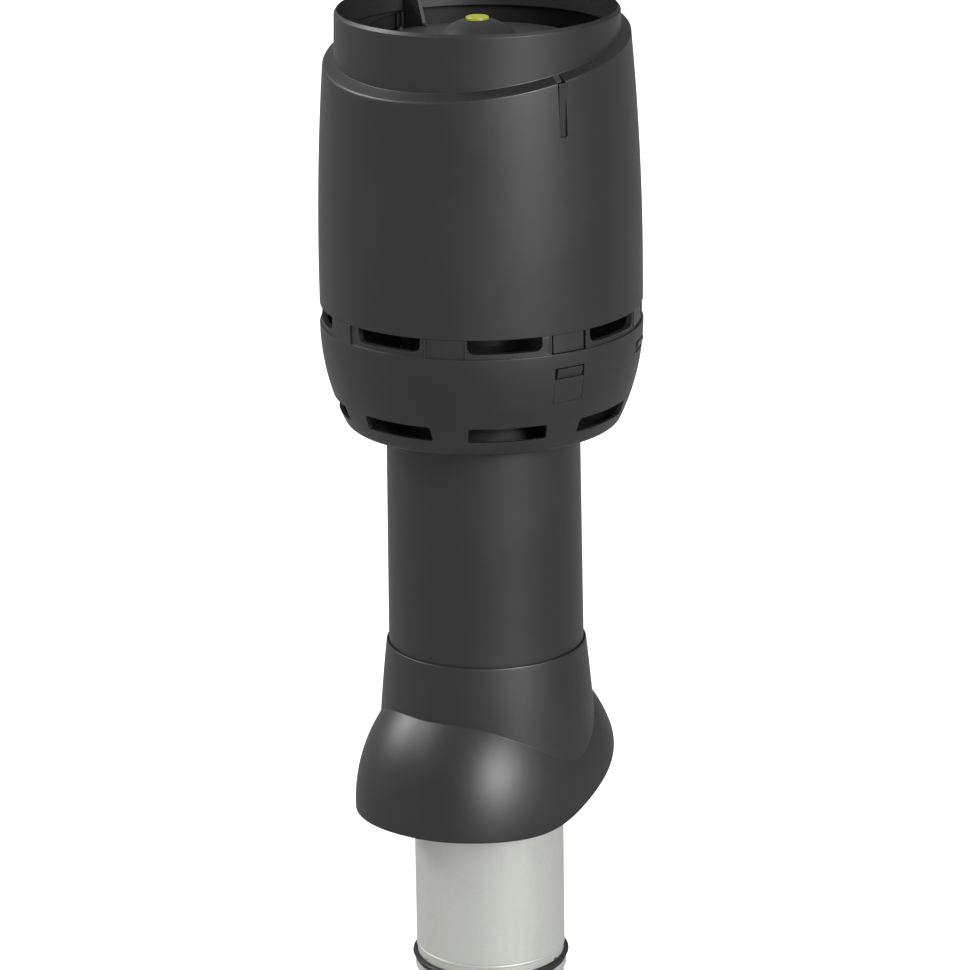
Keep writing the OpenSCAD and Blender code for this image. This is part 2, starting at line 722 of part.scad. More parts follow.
// Upright plate from the rail on the shell's wall to the disc and the core
module stay(a) {
    under = flat_z - (core_r + 3 - flat_x) * tan(disc_slope) - disc_t - seat;
    mid_z = foot_z(a) + foot_h / 2;
    color(black) at_azimuth(a) difference() {
        union() {
            across(stay_t) polygon([
                [core_r + 1.5, under - 18], [core_r + 1.5, under], [disc_r - 6, disc_edge_z + 2],
                [disc_r - 5, disc_edge_z + 3], [disc_r + 2.5, mouth_z - 9], [disc_r + 7, mouth_z - 6],
                [collar_r - collar_wall - 5, mouth_z - 7], [collar_r - collar_wall - 1.5, mouth_z - 12],
                [collar_r - collar_wall - 1.5, mid_z + 8], [stay_out_r - 1, mid_z + 7],
                [stay_out_r - 1, mid_z - 7], [disc_r + 4, mid_z - 9], [disc_r - 10, under - 20]
            ]);
            radial_bar(stay_out_r - foot_t, stay_out_r, foot_z(a), rail_w + 1.6, foot_h);
        }
        rotate([0, 0, 90 - a]) revolve() polygon([
            [0, flat_z + 6], [flat_x, flat_z + push], [disc_r + push, disc_edge_z + push + 0.2],
            [disc_r + push, disc_edge_z - disc_lip - push], [disc_r - disc_t - push, disc_edge_z - disc_lip - push],
            [disc_r - disc_t - push, disc_edge_z - disc_t - push],
            [flat_x, flat_z - disc_t - push], [0, flat_z - 6]
        ]);
        for (z = foot_screws(a))
            radial_pin(screw_r + run, stay_out_r - 8, stay_out_r + 5, z);
    }
}

module stay_near() {
    stay(groove_azimuths[0]);
}

module stay_far() {
    stay(groove_azimuths[1]);
}

module stay_screws() {
    color(steel) for (a = groove_azimuths) at_azimuth(a)
        for (z = foot_screws(a))
            radial_screw(stay_out_r - foot_t - seat, foot_t + push + groove_rail_t - 0.8, z);
}

// Round cap on a stem
module yellow_button() {
    edge = 1.2;
    color([0.78, 0.78, 0.2]) revolve(96) {
        difference() {
            translate([0, button_top_z - button_h]) square([button_r, button_h]);
            translate([button_r - edge, button_top_z - edge]) square([edge + 1, edge + 1]);
        }
        intersection() {
            translate([button_r - edge, button_top_z - edge]) circle(r = edge, $fn = small);
            translate([button_r - edge - 0.01, button_top_z - edge - 0.01]) square([edge + 1, edge + 1]);
        }
        translate([0, stem_tip_z]) difference() {
            square([button_stem_r, button_top_z - stem_tip_z - 2]);
            translate([button_stem_r - 1, 1.5]) square([2, 1.5]);
        }
    }
}

// Retaining ring in the stem's groove
module button_clip() {
    color(steel) translate([0, 0, stem_tip_z + 1.55]) difference() {
        cylinder(r = button_stem_r + 2, h = 1.4, $fn = small);
        translate([0, 0, -1]) cylinder(r = button_stem_r - 1 + run, h = 4, $fn = small);
    }
}

// Coil spring as one swept wire
module button_spring() {
    turns = 4;
    sides = 6;
    wire = 0.45;
    per_turn = 20;
    coil_r = (button_stem_r + button_r) / 2;
    z0 = button_seat_z + wire + 0.1;
    rise = button_top_z - button_h - button_seat_z - 2 * wire - 0.2;
    steps = turns * per_turn;
    points = [for (i = [0 : steps]) for (k = [0 : sides - 1])
        let (a = 360 * i / per_turn, b = 360 * k / sides, r = coil_r + wire * cos(b))
        [r * cos(a), r * sin(a), z0 + rise * i / steps + wire * sin(b)]];
    faces = concat(
        [[for (k = [0 : sides - 1]) k]],
        [for (i = [0 : steps - 1]) for (k = [0 : sides - 1]) let (n = (k + 1) % sides)
            [i * sides + k, (i + 1) * sides + k, (i + 1) * sides + n, i * sides + n]],
        [[for (k = [sides - 1 : -1 : 0]) steps * sides + k]]
    );
    color(steel) polyhedron(points, faces);
}

// Rubber ring that grips the pipe under the skirt's neck
module neck_seal() {
    color(rubber) revolve() translate([0, seal_z]) polygon([
        [pipe_r + run, 3], [pipe_r + 0.6, 0], [pipe_r + 1.3, 0],
        [pipe_r + 1.3, seal_h], [pipe_r + 0.6, seal_h], [pipe_r + run, seal_h - 3]
    ]);
}

// Slip ring below the seal, with the groove that the skirt turns in
module seal_carrier() {
    color(black) revolve() translate([0, carrier_z]) polygon([
        [carrier_r, 0], [carrier_r + 2.6, 0], [carrier_r + 2.6, 3],
        [carrier_r + 0.9, 3.8], [carrier_r + 0.9, seal_z - carrier_z - seat],
        [carrier_r, seal_z - carrier_z - seat]
    ]);
}

// Outer radius of the neck at a depth below its top edge
function neck_out(d) = neck_r + 0.115 * d - 0.0003 * d * d;

// Share of a half axis that the dome's squared plan reaches
function squared(c) = sign(c) * pow(abs(c), 2 / dome_square);

// Point of the dome at a plan angle and a height angle, drawn inwards by an inset
function dome_point(a, t, inset) = [
    (dome_b - inset) * cos(t) * squared(sin(a)),
    -(dome_a - inset) * cos(t) * squared(cos(a)),
    dome_z + (dome_h - inset) * sin(t)
];

// Height of the roof-side edge at a point's azimuth: the roof's slope and an arch across it
function rim_height(p) = let (a = atan2(p[0], -p[1]), rise = dome_a * tan(roof_pitch))
    rim_z - rise * (0.862 * cos(a) + 0.093 * cos(3 * a) + 0.045 * cos(5 * a))
    + rim_arch * (cos(2 * a) + 0.147 * cos(4 * a));

// Height angle at which the dome meets its lower edge
function rim_angle(a, inset, lo, hi, n) = n == 0 ? (lo + hi) / 2 :
    let (m = (lo + hi) / 2, p = dome_point(a, m, inset))
    p[2] < rim_height(p) ? rim_angle(a, inset, m, hi, n - 1) : rim_angle(a, inset, lo, m, n - 1);

// Height angle at which the dome enters the neck's wall
function neck_angle(a, inset, depth, lo, hi, n) = n == 0 ? (lo + hi) / 2 :
    let (m = (lo + hi) / 2, p = dome_point(a, m, inset), r = norm([p[0], p[1]]))
    r > neck_out(neck_z - p[2]) - depth ? neck_angle(a, inset, depth, m, hi, n - 1)
        : neck_angle(a, inset, depth, lo, m, n - 1);

// Dome as one closed sheet between the neck's wall and the roof-side edge
module skirt_dome() {
    around = 96;
    rows = 9;
    depth = skirt_wall / 2;
    ring = function(a, s, inset) let (
        t0 = rim_angle(a, inset, -30, 60, 14),
        t1 = neck_angle(a, inset, depth, 0, 80, 14)
    ) dome_point(a, t0 + (t1 - t0) * s, inset);
    outer = [for (i = [0 : rows]) for (k = [0 : around - 1]) ring(360 * k / around, i / rows, 0)];
    inner = [for (i = [rows : -1 : 0]) for (k = [0 : around - 1]) ring(360 * k / around, i / rows, skirt_wall)];
    levels = 2 * rows + 2;
    faces = [for (i = [0 : levels - 1]) for (k = [0 : around - 1])
        let (n = (k + 1) % around, j = (i + 1) % levels)
        each [[i * around + k, j * around + k, j * around + n], [i * around + k, j * around + n, i * around + n]]];
    polyhedron(concat(outer, inner), faces);
}

// Neck of the skirt
module skirt_neck() {
    steps = 8;
    wall = skirt_wall;
    outline = [for (i = [0 : steps]) let (d = neck_h * i / steps) [neck_out(d), neck_z - d]];
    inside = [for (i = [steps : -1 : 4]) let (d = neck_h * i / steps) [neck_out(d) - wall, neck_z - d]];
    revolve() polygon(concat(outline, inside, [
        [carrier_r + 2.2, carrier_z - 2.4],
        [carrier_r + 2.2, carrier_z - 0.3],
        [carrier_r + 2.9, carrier_z - 0.3],
        [carrier_r + 2.9, carrier_z + 3.3],
        [carrier_r + 1.2, carrier_z + 4.1],
        [carrier_r + 1.2, seal_z + seal_h + 0.4],
        [neck_in_r, seal_z + seal_h + 0.4],
        [neck_in_r, neck_z - 0.6], [neck_in_r + 0.4, neck_z]
    ]));
}

// Roof cover: round neck on a dome with a slanted, arched edge
module roof_skirt() {
    color(black) union() {
        skirt_neck();
        skirt_dome();
    }
}

inner_duct();
duct_spigot();
spigot_rivets();
duct_gasket();
gasket_band();
outer_pipe();
insulation_sleeve();
lower_ring();
upper_ring();
cowl_bowl();
bowl_seal();
bowl_screws();
jet_nozzle();
nozzle_rivets();
cowl_shell();
rain_disc();
flow_core();
stay_near();
stay_far();
stay_screws();
yellow_button();
button_clip();
button_spring();
neck_seal();
seal_carrier();
roof_skirt();
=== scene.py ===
"""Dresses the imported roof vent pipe: plastic shells, a zinc coated duct, rubber rings and a studio."""

import json
import logging
import math
from dataclasses import dataclass, field
from enum import Enum
from typing import Callable, Iterable, Sequence

import bpy
import numpy as np
from mathutils import Matrix, Vector


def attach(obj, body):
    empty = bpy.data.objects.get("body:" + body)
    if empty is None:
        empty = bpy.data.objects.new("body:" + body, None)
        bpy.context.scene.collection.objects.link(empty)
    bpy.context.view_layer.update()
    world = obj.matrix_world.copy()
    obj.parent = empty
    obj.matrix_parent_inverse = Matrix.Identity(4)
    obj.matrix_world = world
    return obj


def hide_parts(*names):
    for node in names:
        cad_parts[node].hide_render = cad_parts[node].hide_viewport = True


MM = 0.001
LOG = logging.getLogger("roof_vent")
SEARCH_ROUNDS = 34
SECTOR = 45.0
HALF_SECTOR = 22.5
SECTORS = 8

Pair = tuple[float, float]
Corner = tuple[float, float, float]

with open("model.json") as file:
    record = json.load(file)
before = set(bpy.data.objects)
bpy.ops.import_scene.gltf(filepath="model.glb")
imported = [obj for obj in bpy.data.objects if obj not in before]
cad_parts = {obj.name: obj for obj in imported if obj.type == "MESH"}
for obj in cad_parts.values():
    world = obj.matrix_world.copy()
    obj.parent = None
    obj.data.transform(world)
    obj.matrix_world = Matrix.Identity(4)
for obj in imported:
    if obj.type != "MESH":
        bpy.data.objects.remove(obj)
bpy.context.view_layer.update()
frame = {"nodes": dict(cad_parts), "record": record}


class Body(Enum):
    """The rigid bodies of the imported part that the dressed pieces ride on."""

    VENT = "vent"
    BUTTON = "button"
    SKIRT = "skirt"


class Slot(Enum):
    """The record's material slots."""

    BLACK = "black_plastic"
    RUBBER = "black_rubber"
    ZINC = "galvanised_steel"
    BRIGHT = "bright_steel"
    YELLOW = "yellow_plastic"
    WOOL = "mineral_wool"


# Shader boards and finishes


class Board:
    """Places and joins the nodes of one shader tree."""

    def __init__(self, tree: bpy.types.NodeTree) -> None:
        """Keeps the tree that the nodes go into."""
        self.tree = tree

    def add(self, kind: str, **values: object) -> bpy.types.Node:
        """Adds a node.

        Args:
            kind: Blender's name of the node type, without the leading ShaderNode.
            values: attributes of the node to set.

        Returns:
            The new node.
        """
        node = self.tree.nodes.new("ShaderNode" + kind)
        for name, value in values.items():
            setattr(node, name, value)
        return node

    def join(self, source: bpy.types.NodeSocket, target: bpy.types.NodeSocket) -> None:
        """Links an output to an input."""
        self.tree.links.new(source, target)

    def math(self, operation: str, first: object, second: object = 0.0) -> bpy.types.NodeSocket:
        """Adds a Math node.

        Args:
            operation: the node's operation.
            first: a socket or a number.
            second: a socket or a number.

        Returns:
            The node's output.
        """
        node = self.add("Math", operation=operation)
        for place, value in enumerate((first, second)):
            if isinstance(value, bpy.types.NodeSocket):
                self.join(value, node.inputs[place])
            else:
                node.inputs[place].default_value = value
        return node.outputs[0]

    def noise(
        self, place: bpy.types.NodeSocket, scale: object, detail: float = 3.0, rough: float = 0.55
    ) -> bpy.types.NodeSocket:
        """Adds a noise texture at a place.

        Args:
            place: coordinates to read.
            scale: a socket or a number.
            detail: octaves of the noise.
            rough: strength of the finer octaves.

        Returns:
            The noise's factor.
        """
        node = self.add("TexNoise")
        self.join(place, node.inputs["Vector"])
        if isinstance(scale, bpy.types.NodeSocket):
            self.join(scale, node.inputs["Scale"])
        else:
            node.inputs["Scale"].default_value = scale
        node.inputs["Detail"].default_value = detail
        node.inputs["Roughness"].default_value = rough
        return node.outputs["Fac"]

    def span(
        self,
        value: bpy.types.NodeSocket,
        low: float,
        high: float,
        to_low: object = 0.0,
        to_high: object = 1.0,
    ) -> bpy.types.NodeSocket:
        """Maps a value from one range to another, clamped.

        Args:
            value: the socket to map.
            low: start of its range.
            high: end of its range.
            to_low: what low becomes, a socket or a number.
            to_high: what high becomes, a socket or a number.

        Returns:
            The mapped socket.
        """
        node = self.add("MapRange", interpolation_type="SMOOTHSTEP")
        self.join(value, node.inputs["Value"])
        node.inputs["From Min"].default_value = low
        node.inputs["From Max"].default_value = high
        for name, target in (("To Min", to_low), ("To Max", to_high)):
            if isinstance(target, bpy.types.NodeSocket):
                self.join(target, node.inputs[name])
            else:
                node.inputs[name].default_value = target
        return node.outputs["Result"]

    def blend(self, factor: bpy.types.NodeSocket, first: object, second: object) -> bpy.types.NodeSocket:
        """Mixes two colours.

        Args:
            factor: how much of the second colour shows.
            first: a socket or a colour.
            second: a socket or a colour.

        Returns:
            The mixed colour.
        """
        node = self.add("Mix", data_type="RGBA")
        self.join(factor, node.inputs[0])
        for place, value in ((6, first), (7, second)):
            if isinstance(value, bpy.types.NodeSocket):
                self.join(value, node.inputs[place])
            else:
                node.inputs[place].default_value = (*value, 1.0)
        return node.outputs[2]


def effect(
    name: str, inputs: dict[str, float], outputs: Sequence[str]
) -> tuple[Board, bpy.types.Node, bpy.types.Node]:
    """Opens a new node group with named number sockets.

    Args:
        name: the group's name.
        inputs: each input's name and its default.
        outputs: the names of the outputs.

    Returns:
        The board of the group, its input node and its output node.
    """
    tree = bpy.data.node_groups.new(name, "ShaderNodeTree")
    for label, value in inputs.items():
        tree.interface.new_socket(label, in_out="INPUT", socket_type="NodeSocketFloat").default_value = value
    for label in outputs:
        tree.interface.new_socket(label, in_out="OUTPUT", socket_type="NodeSocketFloat")
    board = Board(tree)
    return board, tree.nodes.new("NodeGroupInput"), tree.nodes.new("NodeGroupOutput")


class Effects:
    """The shader node groups that several finishes share, each built once."""

    def __init__(self) -> None:
        """Builds every group."""
        self.grain = self._grain()
        self.mottle = self._mottle()
        self.wear = self._wear()
        self.dust = self._dust()

    @staticmethod
    def _grain() -> bpy.types.NodeTree:
        """Fine moulded grain. Returns the group: Height, and Polish that is high on the grain's tops."""
        inputs = {"Scale": 900.0, "Coarse": 0.35}
        board, inward, outward = effect("moulded_grain", inputs, ("Height", "Polish"))
        place = board.add("TexCoord").outputs["Object"]
        fine = board.noise(place, inward.outputs["Scale"], 2.0, 0.5)
        coarse = board.noise(place, board.math("MULTIPLY", inward.outputs["Scale"], 0.22), 3.0)
        height = board.math("ADD", fine, board.math("MULTIPLY", coarse, inward.outputs["Coarse"]))
        board.join(height, outward.inputs["Height"])
        board.join(board.span(fine, 0.35, 0.7), outward.inputs["Polish"])
        return board.tree

    @staticmethod
    def _mottle() -> bpy.types.NodeTree:
        """Slow cloudy change over a surface. Returns the group: Clouds from 0 to 1."""
        board, inward, outward = effect("mottle", {"Scale": 9.0, "Stretch": 1.0}, ("Clouds",))
        coords = board.add("TexCoord")
        stretch = board.add("CombineXYZ")
        stretch.inputs["X"].default_value = 1.0
        stretch.inputs["Y"].default_value = 1.0
        board.join(inward.outputs["Stretch"], stretch.inputs["Z"])
        place = board.add("VectorMath", operation="MULTIPLY")
        board.join(coords.outputs["Object"], place.inputs[0])
        board.join(stretch.outputs[0], place.inputs[1])
        clouds = board.noise(place.outputs[0], inward.outputs["Scale"], 4.0, 0.6)
        board.join(board.span(clouds, 0.3, 0.72), outward.inputs["Clouds"])
        return board.tree

    @staticmethod
    def _wear() -> bpy.types.NodeTree:
        """Rubbed edges. Returns the group: Rubbed, high on convex edges and broken up by noise."""
        board, inward, outward = effect("edge_wear", {"Amount": 0.5, "Breakup": 60.0}, ("Rubbed",))
        bend = board.add("NewGeometry").outputs["Pointiness"]
        place = board.add("TexCoord").outputs["Object"]
        patches = board.span(board.noise(place, inward.outputs["Breakup"], 3.0), 0.35, 0.65, 0.25, 1.0)
        edge = board.math("MULTIPLY", board.span(bend, 0.505, 0.56), patches)
        board.join(board.math("MULTIPLY", edge, inward.outputs["Amount"]), outward.inputs["Rubbed"])
        return board.tree

    @staticmethod
    def _dust() -> bpy.types.NodeTree:
        """Dust on what faces up. Returns the group: Settled, high on level ledges."""
        board, inward, outward = effect("settled_dust", {"Amount": 0.3, "Breakup": 35.0}, ("Settled",))
        parts = board.add("SeparateXYZ")
        board.join(board.add("NewGeometry").outputs["Normal"], parts.inputs[0])
        place = board.add("TexCoord").outputs["Object"]
        patches = board.span(board.noise(place, inward.outputs["Breakup"], 4.0), 0.3, 0.7, 0.2, 1.0)
        ledge = board.math("MULTIPLY", board.span(parts.outputs["Z"], 0.75, 1.0), patches)
        board.join(board.math("MULTIPLY", ledge, inward.outputs["Amount"]), outward.inputs["Settled"])
        return board.tree


class Mixer:
    """A material in the making: its board and its Principled shader."""

    def __init__(self, name: str) -> None:
        """Makes a material with one Principled shader."""
        self.material = bpy.data.materials.new(name)
        self.material.use_nodes = True
        self.board = Board(self.material.node_tree)
        self.shader = next(n for n in self.material.node_tree.nodes if n.type == "BSDF_PRINCIPLED")

    def group(self, tree: bpy.types.NodeTree, **values: float) -> bpy.types.Node:
        """Places a shared effect.

        Args:
            tree: the effect's node group.
            values: its inputs, by name.

        Returns:
            The group's node.
        """
        node = self.board.add("Group", node_tree=tree)
        for label, value in values.items():
            node.inputs[label].default_value = value
        return node

    def bump(self, height: bpy.types.NodeSocket, distance: float) -> None:
        """Feeds a height to the shader's normal.

        Args:
            height: the height's socket.
            distance: the height's real size, in metres.
        """
        node = self.board.add("Bump")
        node.inputs["Strength"].default_value = 1.0
        node.inputs["Distance"].default_value = distance
        self.board.join(height, node.inputs["Height"])
        self.board.join(node.outputs["Normal"], self.shader.inputs["Normal"])

    def feed(self, name: str, socket: bpy.types.NodeSocket) -> None:
        """Feeds a socket to one of the shader's inputs."""
        self.board.join(socket, self.shader.inputs[name])

    def fix(self, **values: float) -> None:
        """Sets inputs of the shader that are the same all over; an underscore stands for a space."""
        for label, value in values.items():
            self.shader.inputs[label.replace("_", " ")].default_value = value


@dataclass(frozen=True)
class MouldedPlastic:
    """Matt moulded plastic with a fine grain."""

    name: str = "black_plastic_finish"
    dark: tuple[float, float, float] = (0.0185, 0.0185, 0.019)
    light: tuple[float, float, float] = (0.0235, 0.0235, 0.0242)
    rubbed: tuple[float, float, float] = (0.045, 0.045, 0.046)
    roughness: float = 0.475
    grain: float = 1400.0
    depth: float = 0.00005
    dust: float = 0.05

    def make(self, effects: Effects) -> bpy.types.Material:
        """Returns the material."""
        mix = Mixer(self.name)
        board = mix.board
        clouds = mix.group(effects.mottle, Scale=11.0).outputs["Clouds"]
        wear = mix.group(effects.wear, Amount=0.35).outputs["Rubbed"]
        dust = mix.group(effects.dust, Amount=self.dust).outputs["Settled"]
        grain = mix.group(effects.grain, Scale=self.grain)
        body = board.blend(clouds, self.dark, self.light)
        body = board.blend(wear, body, self.rubbed)
        mix.feed("Base Color", board.blend(dust, body, (0.16, 0.155, 0.145)))
        rough = board.span(clouds, 0.0, 1.0, self.roughness - 0.025, self.roughness + 0.03)
        rough = board.math("SUBTRACT", rough, board.math("MULTIPLY", wear, 0.25))
        rough = board.math("ADD", rough, board.math("MULTIPLY", grain.outputs["Polish"], -0.03))
        mix.feed("Roughness", board.math("ADD", rough, board.math("MULTIPLY", dust, 0.6)))
        mix.bump(grain.outputs["Height"], self.depth)
        return mix.material


@dataclass(frozen=True)
class Rubber:
    """Soft dull rubber."""

    name: str = "rubber_finish"
    dark: tuple[float, float, float] = (0.012, 0.012, 0.012)
    light: tuple[float, float, float] = (0.026, 0.026, 0.026)

    def make(self, effects: Effects) -> bpy.types.Material:
        """Returns the material."""
        mix = Mixer(self.name)
        board = mix.board
        clouds = mix.group(effects.mottle, Scale=30.0).outputs["Clouds"]
        grain = mix.group(effects.grain, Scale=1900.0, Coarse=0.8)
        mix.feed("Base Color", board.blend(clouds, self.dark, self.light))
        mix.feed("Roughness", board.span(clouds, 0.0, 1.0, 0.5, 0.66))
        mix.bump(grain.outputs["Height"], 0.00006)
        return mix.material


@dataclass(frozen=True)
class ZincCoat:
    """Zinc coated sheet: crystal flakes, upright drawing marks and a line of weld specks."""

    name: str = "zinc_finish"
    dull: tuple[float, float, float] = (0.70, 0.70, 0.655)
    bright: tuple[float, float, float] = (0.745, 0.765, 0.72)
    seam_azimuth: float = 61.5
    seam_width: float = 0.02

    def make(self, effects: Effects) -> bpy.types.Material:
        """Returns the material."""
        mix = Mixer(self.name)
        board = mix.board
        coords = board.add("TexCoord").outputs["Object"]
        flakes = board.add("TexVoronoi", feature="F1")
        flakes.inputs["Scale"].default_value = 420.0
        board.join(coords, flakes.inputs["Vector"])
        flake = board.add("SeparateColor")
        board.join(flakes.outputs["Color"], flake.inputs[0])
        clouds = mix.group(effects.mottle, Scale=14.0, Stretch=0.35).outputs["Clouds"]
        marks = mix.group(effects.mottle, Scale=420.0, Stretch=0.02).outputs["Clouds"]
        sparkle, haze = board.math("MULTIPLY", flake.outputs[0], 0.3), board.math("MULTIPLY", clouds, 0.7)
        tone = board.math("ADD", sparkle, haze)
        seam = self._seam(board, coords)
        body = board.blend(tone, self.dull, self.bright)
        mix.feed("Base Color", board.blend(seam, body, (0.80, 0.81, 0.80)))
        rough = board.span(flake.outputs[1], 0.0, 1.0, 0.42, 0.50)
        mix.feed("Roughness", board.math("ADD", rough, board.math("MULTIPLY", marks, 0.08)))
        mix.fix(Metallic=0.15)
        drawn, welded = board.math("MULTIPLY", marks, 0.5), board.math("MULTIPLY", seam, 1.5)
        mix.bump(board.math("ADD", drawn, welded), 0.00003)
        return mix.material

    def _seam(self, board: Board, coords: bpy.types.NodeSocket) -> bpy.types.NodeSocket:
        """Specks along an upright line.

        Args:
            board: the material's board.
            coords: object coordinates.

        Returns:
            A mask that is high on the specks.
        """
        parts = board.add("SeparateXYZ")
        board.join(coords, parts.inputs[0])
        turn = board.math("ARCTAN2", parts.outputs["X"], board.math("MULTIPLY", parts.outputs["Y"], -1.0))
        away = board.math("ABSOLUTE", board.math("SUBTRACT", turn, math.radians(self.seam_azimuth)))
        line = board.span(away, 0.0, self.seam_width, 1.0, 0.0)
        specks = board.span(board.noise(coords, 330.0, 2.0, 0.7), 0.56, 0.68)
        return board.math("MULTIPLY", board.math("MULTIPLY", line, specks), 0.8)


@dataclass(frozen=True)
class PlatedSteel:
    """Bright zinc plated steel of small parts."""

    name: str = "plated_finish"
    tone: tuple[float, float, float] = (0.55, 0.55, 0.53)
    tint: tuple[float, float, float] = (0.62, 0.60, 0.52)

    def make(self, effects: Effects) -> bpy.types.Material:
        """Returns the material."""
        mix = Mixer(self.name)
        clouds = mix.group(effects.mottle, Scale=120.0).outputs["Clouds"]
        grain = mix.group(effects.grain, Scale=2500.0)
        mix.feed("Base Color", mix.board.blend(clouds, self.tone, self.tint))
        mix.feed("Roughness", mix.board.span(clouds, 0.0, 1.0, 0.22, 0.36))
        mix.fix(Metallic=0.9)
        mix.bump(grain.outputs["Height"], 0.00001)
        return mix.material


@dataclass(frozen=True)
class YellowPlastic:
    """Smooth yellow-green plastic of the button."""

    name: str = "yellow_finish"
    deep: tuple[float, float, float] = (0.64, 0.64, 0.02)
    pale: tuple[float, float, float] = (0.74, 0.74, 0.035)

    def make(self, effects: Effects) -> bpy.types.Material:
        """Returns the material."""
        mix = Mixer(self.name)
        clouds = mix.group(effects.mottle, Scale=90.0).outputs["Clouds"]
        dust = mix.group(effects.dust, Amount=0.04, Breakup=160.0).outputs["Settled"]
        grain = mix.group(effects.grain, Scale=1600.0)
        body = mix.board.blend(clouds, self.deep, self.pale)
        mix.feed("Base Color", mix.board.blend(dust, body, (0.42, 0.41, 0.25)))
        mix.feed("Roughness", mix.board.span(clouds, 0.0, 1.0, 0.36, 0.44))
        mix.fix(Subsurface_Weight=0.05)
        mix.bump(grain.outputs["Height"], 0.00002)
        return mix.material


@dataclass(frozen=True)
class PressedWool:
    """Pressed mineral wool between the pipe and the duct."""

    name: str = "wool_finish"
    deep: tuple[float, float, float] = (0.30, 0.22, 0.07)
    pale: tuple[float, float, float] = (0.56, 0.47, 0.22)

    def make(self, effects: Effects) -> bpy.types.Material:
        """Returns the material."""
        mix = Mixer(self.name)
        fibres = mix.group(effects.mottle, Scale=260.0, Stretch=0.3).outputs["Clouds"]
        grain = mix.group(effects.grain, Scale=700.0, Coarse=1.0)
        mix.feed("Base Color", mix.board.blend(fibres, self.deep, self.pale))
        mix.fix(Roughness=0.95)
        mix.bump(grain.outputs["Height"], 0.0008)
        return mix.material


class Finishes:
    """Every material of the vent, by the record's slot."""

    def __init__(self) -> None:
        """Builds the effects and the materials."""
        effects = Effects()
        kinds = {
            Slot.BLACK: MouldedPlastic(),
            Slot.RUBBER: Rubber(),
            Slot.ZINC: ZincCoat(),
            Slot.BRIGHT: PlatedSteel(),
            Slot.YELLOW: YellowPlastic(),
            Slot.WOOL: PressedWool(),
        }
        self.by_slot = {slot: kind.make(effects) for slot, kind in kinds.items()}

    def dress(self, piece: bpy.types.Object, slot: Slot) -> None:
        """Gives a piece the one material of a slot."""
        piece.data.materials.clear()
        piece.data.materials.append(self.by_slot[slot])

    def dress_frame(self) -> None:
        """Gives every node that is carried over its material, through its object's slots."""
        slots = {row["node"]: row["material_slot"] for row in frame["record"]["subparts"]}
        for name, node in frame["nodes"].items():
            for place in node.material_slots:
                place.link = "OBJECT"
                place.material = self.by_slot[Slot(slots[name])]


# Mesh tools


def turned(azimuth: np.ndarray | float, radius: np.ndarray | float, height: np.ndarray | float) -> np.ndarray:
    """Places points round the axis.

    Args:
        azimuth: degrees from downhill (-Y) towards +X.
        radius: distance from the axis.
        height: height above the duct's lower end.

    Returns:
        An array of points, coordinates last.
    """
    a = np.radians(azimuth)
    return np.stack(np.broadcast_arrays(radius * np.sin(a), -radius * np.cos(a), height), axis=-1)


def rounded(corners: Sequence[Corner], steps: int = 4) -> list[Pair]:
    """Rounds the corners of a closed outline.

    Args:
        corners: radius, height and rounding radius of each corner.
        steps: pieces of each rounding.

    Returns:
        The outline's points.
    """
    made: list[Pair] = []
    count = len(corners)
    for i, (x, y, fillet) in enumerate(corners):
        if fillet <= 0:
            made.append((x, y))
            continue
        here = np.array((x, y))
        before = np.array(corners[i - 1][:2]) - here
        after = np.array(corners[(i + 1) % count][:2]) - here
        long_before, long_after = np.linalg.norm(before), np.linalg.norm(after)
        before, after = before / long_before, after / long_after
        half = math.acos(float(np.clip(before @ after, -1.0, 1.0))) / 2
        if half > math.radians(89):
            made.append((x, y))
            continue
        reach = min(fillet / math.tan(half), 0.48 * long_before, 0.48 * long_after)
        radius = reach * math.tan(half)
        middle = here + (before + after) / np.linalg.norm(before + after) * radius / math.sin(half)
        start, end = here + before * reach - middle, here + after * reach - middle
        sweep = math.pi - 2 * half
        for k in range(steps + 1):
            share = math.sin(sweep * (1 - k / steps)), math.sin(sweep * k / steps)
            point = middle + (start * share[0] + end * share[1]) / math.sin(sweep)
            made.append((float(point[0]), float(point[1])))
    return made


